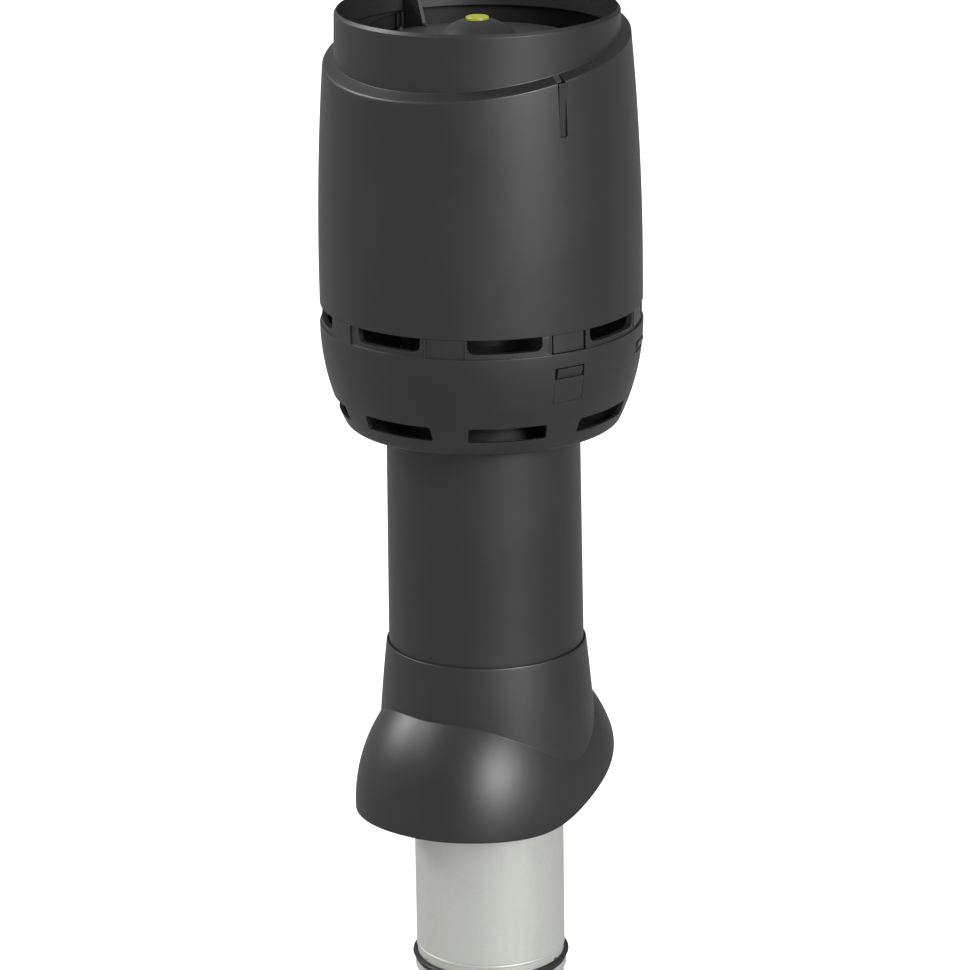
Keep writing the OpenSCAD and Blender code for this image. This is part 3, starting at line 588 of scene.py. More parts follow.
class Mesh:
    """Collects the points and faces of one piece, in millimetres."""

    def __init__(self) -> None:
        """Starts empty."""
        self.points: list[np.ndarray] = []
        self.faces: list[tuple[int, ...]] = []
        self.count = 0

    def put(self, points: np.ndarray) -> np.ndarray:
        """Adds points.

        Args:
            points: an array with coordinates last.

        Returns:
            The points' numbers, in the array's shape.
        """
        flat = points.reshape(-1, 3)
        numbers = np.arange(self.count, self.count + len(flat)).reshape(points.shape[:-1])
        self.points.append(flat)
        self.count += len(flat)
        return numbers

    def skin(
        self, numbers: np.ndarray, along: bool = False, keep: np.ndarray | None = None, flip: bool = False
    ) -> None:
        """Covers a grid of points, whose last column joins the first, with four-sided faces.

        Args:
            numbers: the points' numbers, rows by columns.
            along: whether the last row joins the first.
            keep: which cells get a face.
            flip: whether the faces are turned over.
        """
        rows, columns = numbers.shape
        for j in range(rows if along else rows - 1):
            for i in range(columns):
                if keep is not None and not keep[j, i]:
                    continue
                k, m = (j + 1) % rows, (i + 1) % columns
                face = (numbers[j, i], numbers[j, m], numbers[k, m], numbers[k, i])
                self.faces.append(face[::-1] if flip else face)

    def cap(self, numbers: Iterable[int], flip: bool = False) -> None:
        """Closes a loop of points with one face."""
        face = tuple(numbers)
        self.faces.append(face[::-1] if flip else face)

    def build(
        self, name: str, sharp: float = 40.0, bevel: float = 0.0, even: bool = True
    ) -> bpy.types.Object:
        """Makes the Blender object.

        Args:
            name: the piece's name.
            sharp: edges that turn by more than this many degrees stay sharp.
            bevel: width of the rounding on sharp edges, in millimetres, or 0.
            even: whether large faces rule the shading.

        Returns:
            The object.
        """
        data = bpy.data.meshes.new(name)
        points = np.concatenate(self.points) * MM
        data.from_pydata(points.tolist(), [], [tuple(int(n) for n in face) for face in self.faces])
        data.update()
        piece = bpy.data.objects.new(name, data)
        bpy.context.scene.collection.objects.link(piece)
        data.shade_smooth()
        if bevel > 0:
            tool = piece.modifiers.new("rounded_edges", "BEVEL")
            tool.width = bevel * MM
            tool.segments = 2
            tool.limit_method = "ANGLE"
            tool.angle_limit = math.radians(sharp)
            tool.harden_normals = False
        else:
            data.set_sharp_from_angle(angle=math.radians(sharp))
        if even:
            shading = piece.modifiers.new("even_shading", "WEIGHTED_NORMAL")
            shading.keep_sharp = True
            shading.weight = 60
        return piece


def lathe(name: str, outline: Sequence[Pair], around: int = 240) -> bpy.types.Object:
    """Turns a closed outline round the axis.

    Args:
        name: the piece's name.
        outline: radius and height of its points, in order.
        around: columns in a full turn.

    Returns:
        The object.
    """
    mesh = Mesh()
    azimuths = np.linspace(0, 360, around, endpoint=False)
    path = np.array(outline)
    grid = turned(azimuths[None, :], path[:, :1], path[:, 1:])
    mesh.skin(mesh.put(grid), along=True)
    return mesh.build(name)


def slab(mesh: Mesh, outline: Sequence[Pair], width: float, azimuth: float) -> None:
    """Adds a flat plate that stands on a radius.

    Args:
        mesh: what the plate is added to.
        outline: radius and height of its corners, in order.
        width: its thickness across the radius.
        azimuth: where it stands, in degrees.
    """
    a = math.radians(azimuth)
    out = np.array((math.sin(a), -math.cos(a), 0.0))
    side = np.array((math.cos(a), math.sin(a), 0.0))
    up = np.array((0.0, 0.0, 1.0))
    rings = [[out * r + up * z + side * shift for r, z in outline] for shift in (-width / 2, width / 2)]
    numbers = mesh.put(np.array(rings))
    mesh.skin(numbers, flip=True)
    mesh.cap(numbers[0])
    mesh.cap(numbers[1], flip=True)


def curved_plate(mesh: Mesh, azimuth: float, half: float, outline: Sequence[Pair], steps: int) -> None:
    """Adds a plate that follows the round wall.

    Args:
        mesh: what the plate is added to.
        azimuth: its middle, in degrees.
        half: half its width, in millimetres.
        outline: radius and height of its section's corners, from the inner lower one outwards.
        steps: columns across it.
    """
    loop = np.array(outline)
    reach = math.degrees(math.asin(half / loop[:, 0].max()))
    azimuths = np.linspace(azimuth - reach, azimuth + reach, steps + 1)
    numbers = mesh.put(turned(azimuths[:, None], loop[None, :, 0], loop[None, :, 1]))
    mesh.skin(numbers, flip=True)
    mesh.cap(numbers[0])
    mesh.cap(numbers[-1], flip=True)


def curved_block(mesh: Mesh, azimuth: float, half: float, radii: Pair, heights: Pair, steps: int) -> None:
    """Adds a block of four-sided section that follows the round wall.

    Args:
        mesh: what the block is added to.
        azimuth: its middle, in degrees.
        half: half its width, in millimetres.
        radii: its inner and outer radius.
        heights: its lower and upper height.
        steps: columns across it.
    """
    low, high = heights
    outline = [(radii[0], low), (radii[1], low), (radii[1], high), (radii[0], high)]
    curved_plate(mesh, azimuth, half, outline, steps)


def solved(
    function: Callable[[np.ndarray], np.ndarray], low: float, high: float, shape: tuple[int, ...]
) -> np.ndarray:
    """Finds where a rising function crosses zero, for many places at once.

    Args:
        function: takes an array of guesses and returns their values.
        low: lower end of the search.
        high: upper end of the search.
        shape: the array's shape.

    Returns:
        The crossings.
    """
    lows, highs = np.full(shape, low), np.full(shape, high)
    for _ in range(SEARCH_ROUNDS):
        middle = (lows + highs) / 2
        above = function(middle) > 0
        highs = np.where(above, middle, highs)
        lows = np.where(above, lows, middle)
    return (lows + highs) / 2


def place(piece: bpy.types.Object, body: Body, slot: Slot, finishes: Finishes, *nodes: str) -> None:
    """Finishes a piece and fixes it to its body.

    Args:
        piece: the object.
        body: the body that it rides on.
        slot: the record's material slot.
        finishes: the materials.
        nodes: the CAD nodes that it stands for.
    """
    finishes.dress(piece, slot)
    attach(piece, body.value)
    if nodes:
        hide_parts(*nodes)
    LOG.info("%s: %d faces, on %s", piece.name, len(piece.data.polygons), body.value)


# Sub-assemblies


@dataclass
class Barrel:
    """The shell's side and its slanted shoulder, as surfaces."""

    foot: float = 607.6
    mouth: float = 846.6
    widest: float = 130.7
    widest_z: float = 629.6
    arc: float = 2250.0
    wall: float = 2.9
    tilt: float = 9.5
    tilt_azimuth: float = 3.0
    shoulder_z: float = 815.7
    shoulder_r: float = 124.3
    fall: float = 3.4
    collar_r: float = 115.4
    draft: float = 1.6
    collar_wall: float = 2.8
    lip: float = 2.9
    search: Pair = (740.0, 846.0)

    def side(self, height: np.ndarray, inset: float = 0.0) -> np.ndarray:
        """Radius of the barrel's side.

        Args:
            height: height above the duct's lower end.
            inset: distance inwards from the outer side.

        Returns:
            The radius at each height.
        """
        return self.widest - self.arc + np.sqrt((self.arc - inset) ** 2 - (height - self.widest_z) ** 2)

    def above_shoulder(
        self, azimuth: np.ndarray, radius: np.ndarray, height: np.ndarray, drop: float
    ) -> np.ndarray:
        """How far a point is above the slanted shoulder.

        Args:
            azimuth: where it is, in degrees.
            radius: its distance from the axis.
            height: its height.
            drop: how far the shoulder is lowered.

        Returns:
            Millimetres above the shoulder's cone, measured upright in the slanted frame.
        """
        points = turned(azimuth - self.tilt_azimuth, radius, height - self.shoulder_z + drop)
        x, y, z = np.moveaxis(points, -1, 0)
        cos, sin = math.cos(math.radians(self.tilt)), math.sin(math.radians(self.tilt))
        flat_y, flat_z = y * cos + z * sin, z * cos - y * sin
        slope = self.fall / (self.shoulder_r - self.collar_r)
        return flat_z - (self.shoulder_r - np.hypot(x, flat_y)) * slope

    def collar(self, height: np.ndarray) -> np.ndarray:
        """Returns the collar's outer radius at each height."""
        low, high = self.shoulder_z - 30, self.mouth - self.lip
        return self.collar_r - self.draft * (height - low) / (high - low)

    def shoulder_outer(self, azimuth: np.ndarray, inset: float = 0.0, drop: float = 0.0) -> np.ndarray:
        """Height at which the side meets the shoulder.

        Args:
            azimuth: where, in degrees.
            inset: distance inwards from the outer side.
            drop: how far the shoulder is lowered.

        Returns:
            The height at each azimuth.
        """
        def above(z: np.ndarray) -> np.ndarray:
            """Returns how far the side is above the shoulder at a height."""
            return self.above_shoulder(azimuth, self.side(z, inset), z, drop)

        return solved(above, *self.search, azimuth.shape)

    def shoulder_inner(
        self, azimuth: np.ndarray, radius: float | None = None, drop: float = 0.0
    ) -> np.ndarray:
        """Height at which the shoulder meets the collar, or a bore of a given radius.

        Args:
            azimuth: where, in degrees.
            radius: the bore's radius, or None for the collar.
            drop: how far the shoulder is lowered.

        Returns:
            The height at each azimuth.
        """
        def above(z: np.ndarray) -> np.ndarray:
            """Returns how far the collar's surface is above the shoulder at a height."""
            wall = self.collar(z) if radius is None else np.full(z.shape, radius)
            return self.above_shoulder(azimuth, wall, z, drop)

        return solved(above, *self.search, azimuth.shape)


@dataclass
class CowlShell:
    """The cowl's upper shell, with its two grooves and the rails behind them."""

    barrel: Barrel = field(default_factory=Barrel)
    groove_azimuths: tuple[float, float] = (66.8, 246.8)
    rail_azimuths: tuple[float, float] = (67.5, 247.5)
    groove_w: float = 6.5
    groove_len: float = 46.6
    groove_deep: float = 5.0
    groove_round: float = 1.1
    rail_w: float = 8.4
    rail_in: float = 117.1
    rail_out: float = 124.5
    ceiling_drop: float = 3.4
    edge_round: float = 2.4
    edge_swing: float = 1.8
    softest_azimuth: float = -60.0

    def columns(self) -> np.ndarray:
        """Returns the azimuths of the mesh's columns, close together at the grooves."""
        near = np.concatenate([np.linspace(-2.2, 2.2, 45) + a for a in self.groove_azimuths])
        wide = np.linspace(0, 360, 288, endpoint=False)
        clear = [min(abs(w - a) for a in self.groove_azimuths) > 2.6 for w in wide]
        return np.sort(np.concatenate([near, wide[clear]]))

    def groove_top(self, azimuth: float) -> float:
        """Returns the height of a groove's upper end."""
        b = self.barrel
        down = math.cos(math.radians(azimuth - b.tilt_azimuth)) * math.tan(math.radians(b.tilt))
        return b.shoulder_z + b.fall - b.collar_r * down

    def groove_mask(self, azimuth: np.ndarray, radius: np.ndarray, height: np.ndarray) -> np.ndarray:
        """How far inside a groove's outline each point is.

        Args:
            azimuth: the points' azimuths.
            radius: their radii.
            height: their heights.

        Returns:
            0 outside the grooves and 1 inside, with a narrow slope between.
        """
        mask = np.zeros(np.broadcast(azimuth, radius, height).shape)
        for middle in self.groove_azimuths:
            low = self.groove_top(middle) - self.groove_len + self.groove_round
            across = np.abs(np.radians(azimuth - middle)) * radius - self.groove_w / 2 + self.groove_round
            depth = self.groove_round - np.hypot(np.maximum(across, 0.0), np.maximum(low - height, 0.0))
            mask = np.maximum(mask, np.clip(depth / 0.3 + 0.5, 0.0, 1.0))
        return mask * mask * (3 - 2 * mask)

    def outline(self, azimuth: float, edges: dict[str, float], levels: np.ndarray) -> np.ndarray:
        """One column of the shell, as a closed outline.

        Args:
            azimuth: the column's azimuth.
            edges: heights of the shoulder's outer and inner edges, outside and inside.
            levels: shares of the side's height at which it has points.

        Returns:
            The column's radii and heights.
        """
        b = self.barrel
        bore = b.collar_r - b.collar_wall
        lip_r = b.collar_r - b.draft
        side = [b.foot + (edges["outer"] - b.foot) * s for s in levels]
        inside = [b.foot + (edges["hollow"] - b.foot) * s for s in levels[::-3]]
        corners: list[Corner] = [(float(b.side(b.foot)), b.foot, 0.7)]
        corners += [(float(b.side(z)), z, 0.0) for z in side[1:-1]]
        swing = self.edge_swing * math.cos(math.radians(azimuth - self.softest_azimuth))
        corners += [
            (float(b.side(edges["outer"])), edges["outer"], self.edge_round + swing),
            (float(b.collar(edges["inner"])), edges["inner"], 0.9),
            (lip_r, b.mouth - b.lip, 0.7),
            (lip_r - 1.9, b.mouth - 0.3, 0.4),
            (bore - 1.0, b.mouth - 0.1, 0.2),
            (bore - 1.2, b.mouth - 21.0, 0.4),
            (bore, b.mouth - 22.2, 0.4),
            (bore, edges["bore"], 0.8),
            (float(b.side(edges["hollow"], b.wall)), edges["hollow"], 1.0),
        ]
        corners += [(float(b.side(z, b.wall)), z, 0.0) for z in inside[1:-1]]
        corners += [(float(b.side(b.foot, b.wall)), b.foot, 0.5)]
        return np.array(rounded(corners, 4))

    def build(self, finishes: Finishes) -> None:
        """Makes the shell and its rails."""
        b = self.barrel
        azimuths = self.columns()
        heights = {
            "outer": b.shoulder_outer(azimuths),
            "inner": b.shoulder_inner(azimuths),
            "bore": b.shoulder_inner(azimuths, b.collar_r - b.collar_wall, self.ceiling_drop),
            "hollow": b.shoulder_outer(azimuths, b.wall, self.ceiling_drop),
        }
        spans = (np.linspace(0, 0.76, 40), np.linspace(0.765, 0.81, 52), np.linspace(0.82, 0.92, 10), [1.0])
        levels = np.concatenate(spans)
        columns = [
            self.outline(a, {name: float(z[i]) for name, z in heights.items()}, levels)
            for i, a in enumerate(azimuths)
        ]
        path = np.stack(columns, axis=1)
        radius, height = path[..., 0], path[..., 1]
        cut = self.groove_mask(azimuths[None, :], radius, height) * self.groove_deep
        # The rounded foot and shoulder edge add four rows each to the side's own.
        outer_rows = len(levels) + 8
        radius = radius - cut * (np.arange(len(path))[:, None] < outer_rows)
        mesh = Mesh()
        mesh.skin(mesh.put(turned(azimuths[None, :], radius, height)), along=True)
        place(mesh.build("cowl_shell_form", 50), Body.VENT, Slot.BLACK, finishes, "cowl_shell")
        rails = Mesh()
        for a in self.rail_azimuths:
            top = self.groove_top(a)
            low, high = top - self.groove_len - 2, top - 5.0
            section = [(self.rail_in, low), (self.rail_out, low), (self.rail_out, high), (self.rail_in, high)]
            slab(rails, section, self.rail_w, a)
        place(rails.build("groove_rails", 40, 0.6), Body.VENT, Slot.BLACK, finishes)


@dataclass
class SnapTongues:
    """The four tongues that hang from the shell and snap into the bowl."""

    azimuths: tuple[float, ...] = (67.5, 112.5, 247.5, 292.5)
    inner: float = 124.0
    face: float = 126.6
    panel: float = 128.9
    rim_z: float = 592.0
    foot_z: float = 607.6
    low_z: float = 552.0
    width: float = 28.4
    low_width: float = 25.0
    nose_w: float = 23.0
    panel_half: float = 13.45
    panel_low: float = 551.2
    panel_top: float = 571.0
    nose_reach: float = 4.3
    nose_top: float = 579.6
    nose_h: float = 12.0

    def build(self, finishes: Finishes) -> None:
        """Makes the tongues."""
        mesh = Mesh()
        for a in self.azimuths:
            root = self.foot_z + 11.5
            half = self.width / 2
            curved_block(mesh, a, half, (self.inner, self.panel), (self.rim_z + 0.5, self.foot_z + 0.6), 8)
            curved_block(mesh, a, half, (self.inner, self.panel - 0.8), (self.foot_z - 4, root), 8)
            low_half = self.low_width / 2
            curved_block(mesh, a, low_half, (self.inner, self.face), (self.low_z, self.rim_z + 1), 8)
            top, out = self.nose_top, self.face + self.nose_reach
            nose = [
                (self.face - 0.5, top), (self.face - 0.5, top - self.nose_h), (self.face, top - self.nose_h),
                (out, top - 3), (out, top),
            ]
            slab(mesh, nose, self.nose_w, a)
        place(mesh.build("snap_tongues", 30, 0.5), Body.VENT, Slot.BLACK, finishes)
        panels = Mesh()
        bowl = PiercedBowl()
        for a in self.azimuths:
            outline = [(self.inner + 0.5, self.panel_low)]
            outline += [(bowl.side(z, 0.08), z) for z in np.linspace(self.panel_low, self.panel_top, 8)]
            curved_plate(panels, a, self.panel_half, outline + [(self.inner + 0.5, self.panel_top)], 8)
        place(panels.build("tongue_panels", 40, 0.12), Body.VENT, Slot.BLACK, finishes)


@dataclass
class PiercedBowl:
    """The slotted bowl with its band, spigot and hub, as one wall with openings."""

    floor_z: float = 507.0
    rim_r: float = 130.9
    height: float = 85.0
    arc: float = 189.0
    corner: float = 7.0
    wall: float = 3.0
    band_r: float = 129.3
    band_in: float = 126.3
    band_h: float = 15.5
    spigot_out: float = 127.34
    spigot_in: float = 124.54
    spigot_top: float = 621.6
    hub_in: float = 79.31
    hub_out: float = 82.31
    hub_top: float = 550.7
    upper_half: float = 29.98
    upper_sill: float = 4.0
    upper_round: float = 6.0
    lower_half: float = 31.5
    lower_sill: float = 13.5
    lower_h: float = 12.3
    lower_round: float = 2.0
    slot_half: float = 13.6
    slot_low: float = 44.0
    slot_high: float = 73.5
    channel_half: float = 15.7
    front_window: float = 45.0
    front_shift: float = -1.45
    tongue_posts: tuple[int, ...] = (1, 2, 5, 6)
    ribbed_posts: tuple[int, ...] = (0, 4)
    flush_posts: tuple[int, ...] = (3, 7)

    @property
    def rim_z(self) -> float:
        """Height of the rim."""
        return self.floor_z + self.height

    @property
    def corner_centre(self) -> Pair:
        """Radius and height of the lower corner's centre."""
        turn = math.asin((self.height - self.corner) / (self.arc - self.corner))
        return self.rim_r - self.arc + (self.arc - self.corner) * math.cos(turn), self.floor_z + self.corner

    def side(self, height: float, inset: float) -> float:
        """Radius of the side.

        Args:
            height: height above the duct's lower end.
            inset: distance inwards from the outer side.

        Returns:
            The radius.
        """
        centre_r, centre_z = self.corner_centre
        turn = math.asin((self.height - self.corner) / (self.arc - self.corner))
        if height < centre_z - (self.corner - inset) * math.sin(turn):
            reach = self.corner - inset
            return centre_r + math.sqrt(max(reach**2 - (centre_z - height) ** 2, 0.0))
        return self.rim_r - self.arc + math.sqrt((self.arc - inset) ** 2 - (self.rim_z - height) ** 2)

    def levels(self) -> list[tuple[Pair, Pair]]:
        """Rows of the wall, each an outer and an inner point, from the hub over the floor to the spigot."""
        centre_r, centre_z = self.corner_centre
        z0, rim = self.floor_z, self.rim_z
        rows: list[tuple[Pair, Pair]] = []
        for share in (1.0, 0.6, 0.2):
            z = z0 + 1.0 + 38.0 * share
            rows.append(((self.hub_in, z), (self.hub_out, z + 3.0)))
        rows.append(((self.hub_in, z0 + 0.8), (self.hub_out, z0 + 4.2)))
        rows.append(((self.hub_in + 0.25, z0 + 0.25), (self.hub_out + 0.35, z0 + 3.35)))
        rows.append(((self.hub_in + 0.8, z0), (self.hub_out + 1.2, z0 + 3.0)))
        for share in (0.25, 0.5, 0.75, 1.0):
            outer = self.hub_in + 0.8 + (centre_r - self.hub_in - 0.8) * share
            inner = self.hub_out + 1.2 + (centre_r - self.hub_out - 1.2) * share
            rows.append(((outer, z0), (inner, z0 + self.wall)))
        for turn in (15, 30, 45, 58):
            a = math.radians(turn)
            rows.append(tuple(
                (centre_r + reach * math.sin(a), centre_z - reach * math.cos(a))
                for reach in (self.corner, self.corner - self.wall)
            ))
        for z in self.side_levels():
            rows.append(((self.side(z, 0), z), (self.side(z, self.wall), z)))
        rows.append(((self.rim_r, rim - 0.4), (self.rim_r - self.wall, rim - 1.0)))
        rows.append(((self.rim_r - 0.12, rim - 0.1), (self.band_in + 0.9, rim - 0.4)))
        rows.append(((self.rim_r - 0.45, rim), (self.band_in + 0.4, rim)))
        rows.append(((self.band_r + 0.3, rim), (self.band_in, rim + 0.3)))
        rows.append(((self.band_r, rim + 0.3), (self.band_in, rim + 0.6)))
        for up in (2.0, 3.2, self.upper_sill, 4.4, 5.4, 6.8, 8.4):
            rows.append(((self.band_r, rim + up), (self.spigot_in if up > 3 else self.band_in, rim + up)))
        for up in (self.upper_sill + self.upper_round, 12.0, self.band_h - 0.4):
            rows.append(((self.band_r, rim + up), (self.spigot_in, rim + up)))
        rows.append(((self.band_r - 0.3, rim + self.band_h), (self.spigot_in, rim + self.band_h)))
        rows.append(((self.spigot_out, rim + self.band_h), (self.spigot_in, rim + self.band_h + 0.4)))
        for z in (rim + 16.8, rim + 20, rim + 25, self.spigot_top - 0.4):
            rows.append(((self.spigot_out, z), (self.spigot_in, z)))
        rows.append(((self.spigot_out - 0.4, self.spigot_top), (self.spigot_in + 0.4, self.spigot_top)))
        return rows

    def side_levels(self) -> list[float]:
        """Returns the heights of the rows on the curved side, with rows on every opening's edge."""
        sill = self.lower_sill
        head = sill + self.lower_h
        r = self.lower_round
        ups = [7.5, 10.0, 12.2, sill, sill + 0.4, sill + 1.1, sill + r, sill + 5]
        ups += [head - 5, head - r, head - 1.1, head - 0.4, head, 28, 31, 34.5, 38, 41, 43]
        ups += [self.slot_low, 47, 51, 55, 59, 63, 67, 71, self.slot_high, 75.5, 78, 81]
        return [self.floor_z + up for up in ups]

    def keys(self, radius: float, height: float) -> list[float]:
        """Azimuths of the guiding columns in half a sector, from a window's middle to a post's middle.

        Args:
            radius: outer radius of the row.
            height: height of the row.

        Returns:
            Four azimuths. Low on the side the second is the lower window's edge. Higher up they are the
            upper window's edge, a place between, the channel's edge and the slot's edge.
        """
        def reach(half: float) -> float:
            """Returns the azimuth that half a width takes up on this row."""
            return math.degrees(math.asin(half / radius))

        low_edge = reach(self.lower_half)
        rest = HALF_SECTOR - low_edge
        low = [low_edge - 0.8, low_edge, low_edge + rest * 0.3, low_edge + rest * 0.45]
        slot = HALF_SECTOR - reach(self.slot_half)
        channel = HALF_SECTOR - reach(self.channel_half)
        top = reach(self.upper_half)
        high = [top, (top + channel) / 2, channel, slot]
        share = min(max((height - self.floor_z - 27) / 14, 0.0), 1.0)
        return [a + (b - a) * share for a, b in zip(low, high)]

    def column_row(self, radius: float, height: float) -> list[float]:
        """Azimuths of all columns of one row in one half sector.

        Args:
            radius: outer radius of the row.
            height: height of the row.

        Returns:
            Azimuths from the window's middle towards the post's middle.
        """
        k1, k2, k3, k4 = self.keys(radius, height)
        r = self.upper_round / self.upper_half
        inside = [0, 0.22, 0.44, 0.64, 1 - r, 1 - 0.6 * r, 1 - 0.3 * r, 1 - 0.08 * r]
        beyond = [k4 + (HALF_SECTOR - k4) * s for s in (0.2, 0.4, 0.6, 0.8)]
        return [k1 * s for s in inside] + [k1, k2, k3, k4] + beyond

    def openings(self, rows: int, columns: int, heights: np.ndarray) -> np.ndarray:
        """Which cells of the wall are solid.

        Args:
            rows: rows of points.
            columns: columns of points.
            heights: outer height of each row.

        Returns:
            True for each solid cell.
        """
        half = columns // (2 * SECTORS)
        solid = np.ones((rows - 1, columns), bool)
        rim = self.rim_z
        middles = (heights[:-1] + heights[1:]) / 2
        sill = self.floor_z + self.lower_sill
        lower = (middles > sill) & (middles < sill + self.lower_h)
        upper = (middles > rim + self.upper_sill) & (middles < rim + 16.8)
        slot = (middles > self.floor_z + self.slot_low) & (middles < self.floor_z + self.slot_high)
        started = np.arange(rows - 1) >= int(np.argmax(heights > rim + 0.2)) - 1
        for i in range(columns):
            post, step = divmod(i, 2 * half)
            away = min(step, 2 * half - 1 - step)
            if away < 9:
                solid[lower, i] = False
            if away < 8:
                solid[upper, i] = False
            if post in self.tongue_posts and away >= 10:
                solid[started, i] = False
            if post in self.tongue_posts and away >= 11:
                solid[slot, i] = False
        return solid

    def build(self, finishes: Finishes) -> None:
        """Makes the bowl's wall, the posts' ribs and the floor's ribs."""
        rows = self.levels()
        outer = np.array([row[0] for row in rows])
        inner = np.array([row[1] for row in rows])
        azimuths = []
        for radius, height in outer:
            half = self.column_row(radius, height)
            sector = half + [HALF_SECTOR] + [SECTOR - a for a in half[:0:-1]]
            azimuths.append([SECTOR * k + a for k in range(SECTORS) for a in sector])
        azimuth = np.array(azimuths)
        columns = azimuth.shape[1]
        rise = np.clip((outer[:, 1:] - self.rim_z - 0.5) / 2.5, 0.0, 1.0)
        near_front = np.clip((15.0 - np.abs(azimuth - self.front_window)) / 1.6, 0.0, 1.0)
        shift = self.front_shift * near_front * rise
        heights_out = np.repeat(outer[:, 1:], columns, 1)
        heights_in = np.repeat(inner[:, 1:], columns, 1)
        self.round_corners(azimuth, heights_out, heights_in, outer)
        solid = self.openings(len(rows), columns, outer[:, 1])
        radius_out = self.followed(outer, heights_out)
        radius_in = self.followed(inner, heights_in)
        azimuth = azimuth + shift
        mesh = Mesh()
        front = mesh.put(turned(azimuth, radius_out, heights_out))
        back = mesh.put(turned(azimuth, radius_in, heights_in))
        mesh.skin(front, keep=solid)
        mesh.skin(back, keep=solid, flip=True)
        self.close(mesh, front, back, solid)
        place(mesh.build("cowl_bowl_form", 45, 0.45), Body.VENT, Slot.BLACK, finishes, "cowl_bowl")
        self.build_ribs(finishes)

    def followed(self, path: np.ndarray, heights: np.ndarray) -> np.ndarray:
        """Radii of points that may have been moved up or down their row.

        Args:
            path: radius and height of each row.
            heights: height of each point.

        Returns:
            The radius of each point: its row's, or the side's where it was moved.
        """
        radii = np.repeat(path[:, :1], heights.shape[1], 1)
        moved = np.abs(heights - path[:, 1:]) > 1e-9
        for j, i in zip(*np.nonzero(moved)):
            z = heights[j, i]
            if z < self.rim_z - 5:
                inset = 0.0 if abs(path[j, 0] - self.side(path[j, 1], 0)) < 0.01 else self.wall
                radii[j, i] = self.side(z, inset)
        return radii

    def round_corners(
        self, azimuth: np.ndarray, heights_out: np.ndarray, heights_in: np.ndarray, outer: np.ndarray
    ) -> None:
        """Moves the points at the windows' corners onto arcs.

        Args:
            azimuth: azimuth of each point, changed in place.
            heights_out: outer height of each point, changed in place.
            heights_in: inner height of each point, changed in place.
            outer: radius and height of each row.
        """
        low_z, high_z = self.floor_z + self.lower_sill, self.floor_z + self.lower_sill + self.lower_h
        sill = self.rim_z + self.upper_sill
        half = azimuth.shape[1] // (2 * SECTORS)
        for z_edge, sign, size, width, last in (
            (sill, 1, self.upper_round, self.upper_half, 8),
            (low_z, 1, self.lower_round, self.lower_half, 9),
            (high_z, -1, self.lower_round, self.lower_half, 9),
        ):
            for j, (radius, z) in enumerate(outer):
                up = (z - z_edge) * sign
                if up < -1e-6 or up > size - 1e-6:
                    continue
                for sector in range(SECTORS):
                    for side in (1, -1):
                        for step in range(last + 1):
                            i = (sector * 2 * half + side * step) % azimuth.shape[1]
                            turn = azimuth[j, i] - SECTOR * sector
                            turn = (turn + 180) % 360 - 180
                            u = abs(math.sin(math.radians(turn))) * radius
                            if up > 1e-6 and step != last:
                                continue
                            if up <= 1e-6 and u < width - size + 1e-6:
                                continue
                            angle = 45 + 45 * up / size if step == last else 45 * (u - width + size) / size
                            new_u = width - size + size * math.sin(math.radians(angle))
                            new_up = size - size * math.cos(math.radians(angle))
                            azimuth[j, i] = SECTOR * sector + side * math.degrees(math.asin(new_u / radius))
                            shift = sign * (new_up - up)
                            heights_out[j, i] += shift
                            heights_in[j, i] += shift

    @staticmethod
    def close(mesh: Mesh, front: np.ndarray, back: np.ndarray, solid: np.ndarray) -> None:
        """Joins the outer and inner skin along every edge of the solid cells.

        Args:
            mesh: the bowl's mesh.
            front: numbers of the outer points.
            back: numbers of the inner points.
            solid: which cells are solid.
        """
        rows, columns = solid.shape
        for j in range(rows):
            for i in range(columns):
                if not solid[j, i]:
                    continue
                m = (i + 1) % columns
                if j == 0 or not solid[j - 1, i]:
                    mesh.cap((front[j, i], back[j, i], back[j, m], front[j, m]))
                if j == rows - 1 or not solid[j + 1, i]:
                    mesh.cap((front[j + 1, i], front[j + 1, m], back[j + 1, m], back[j + 1, i]))
                if not solid[j, i - 1]:
                    mesh.cap((front[j, i], front[j + 1, i], back[j + 1, i], back[j, i]))
                if not solid[j, m]:
                    mesh.cap((front[j, m], back[j, m], back[j + 1, m], front[j + 1, m]))

    def build_ribs(self, finishes: Finishes) -> None:
        """Makes the ribs and pads of the posts, and the ribs on the floor."""
        posts = Mesh()
        heights = (self.rim_z - 0.2, self.rim_z + self.band_h)
        root = self.band_r - 0.6
        middles = [HALF_SECTOR + SECTOR * k for k in range(SECTORS)]
        for k in self.ribbed_posts:
            for turn in (-7.25, 7.25):
                curved_block(posts, middles[k] + turn, 0.8, (root, self.band_r + 1.1), heights, 1)
        for k in self.flush_posts:
            curved_block(posts, middles[k], 11.0, (root, self.rim_r - 0.1), heights, 6)
        for k in self.tongue_posts:
            shift = math.degrees(16.7 / self.band_r)
            for side in (-shift, shift):
                curved_block(posts, middles[k] + side, 0.95, (root, self.band_r + 0.6), heights, 1)
        place(posts.build("band_posts", 40, 0.35), Body.VENT, Slot.BLACK, finishes)
        ribs = Mesh()
        centre_r = self.corner_centre[0]
        top, foot, hub = self.floor_z + 13, self.floor_z + 2, self.hub_out - 0.5
        outline = [(hub, foot), (centre_r, foot), (centre_r, foot + 6), (centre_r - 6, top), (hub, top)]
        for middle in middles:
            slab(ribs, outline[::-1], 2.5, middle)
        place(ribs.build("floor_ribs", 40, 0.5), Body.VENT, Slot.BLACK, finishes)
        out, high, ledge_in = self.hub_out, self.hub_top, 62.8
        ledge = rounded([
            (ledge_in, high - 3, 0.3), (out, high - 3.2, 0.0), (out, high, 0.5), (ledge_in, high, 0.5),
        ])
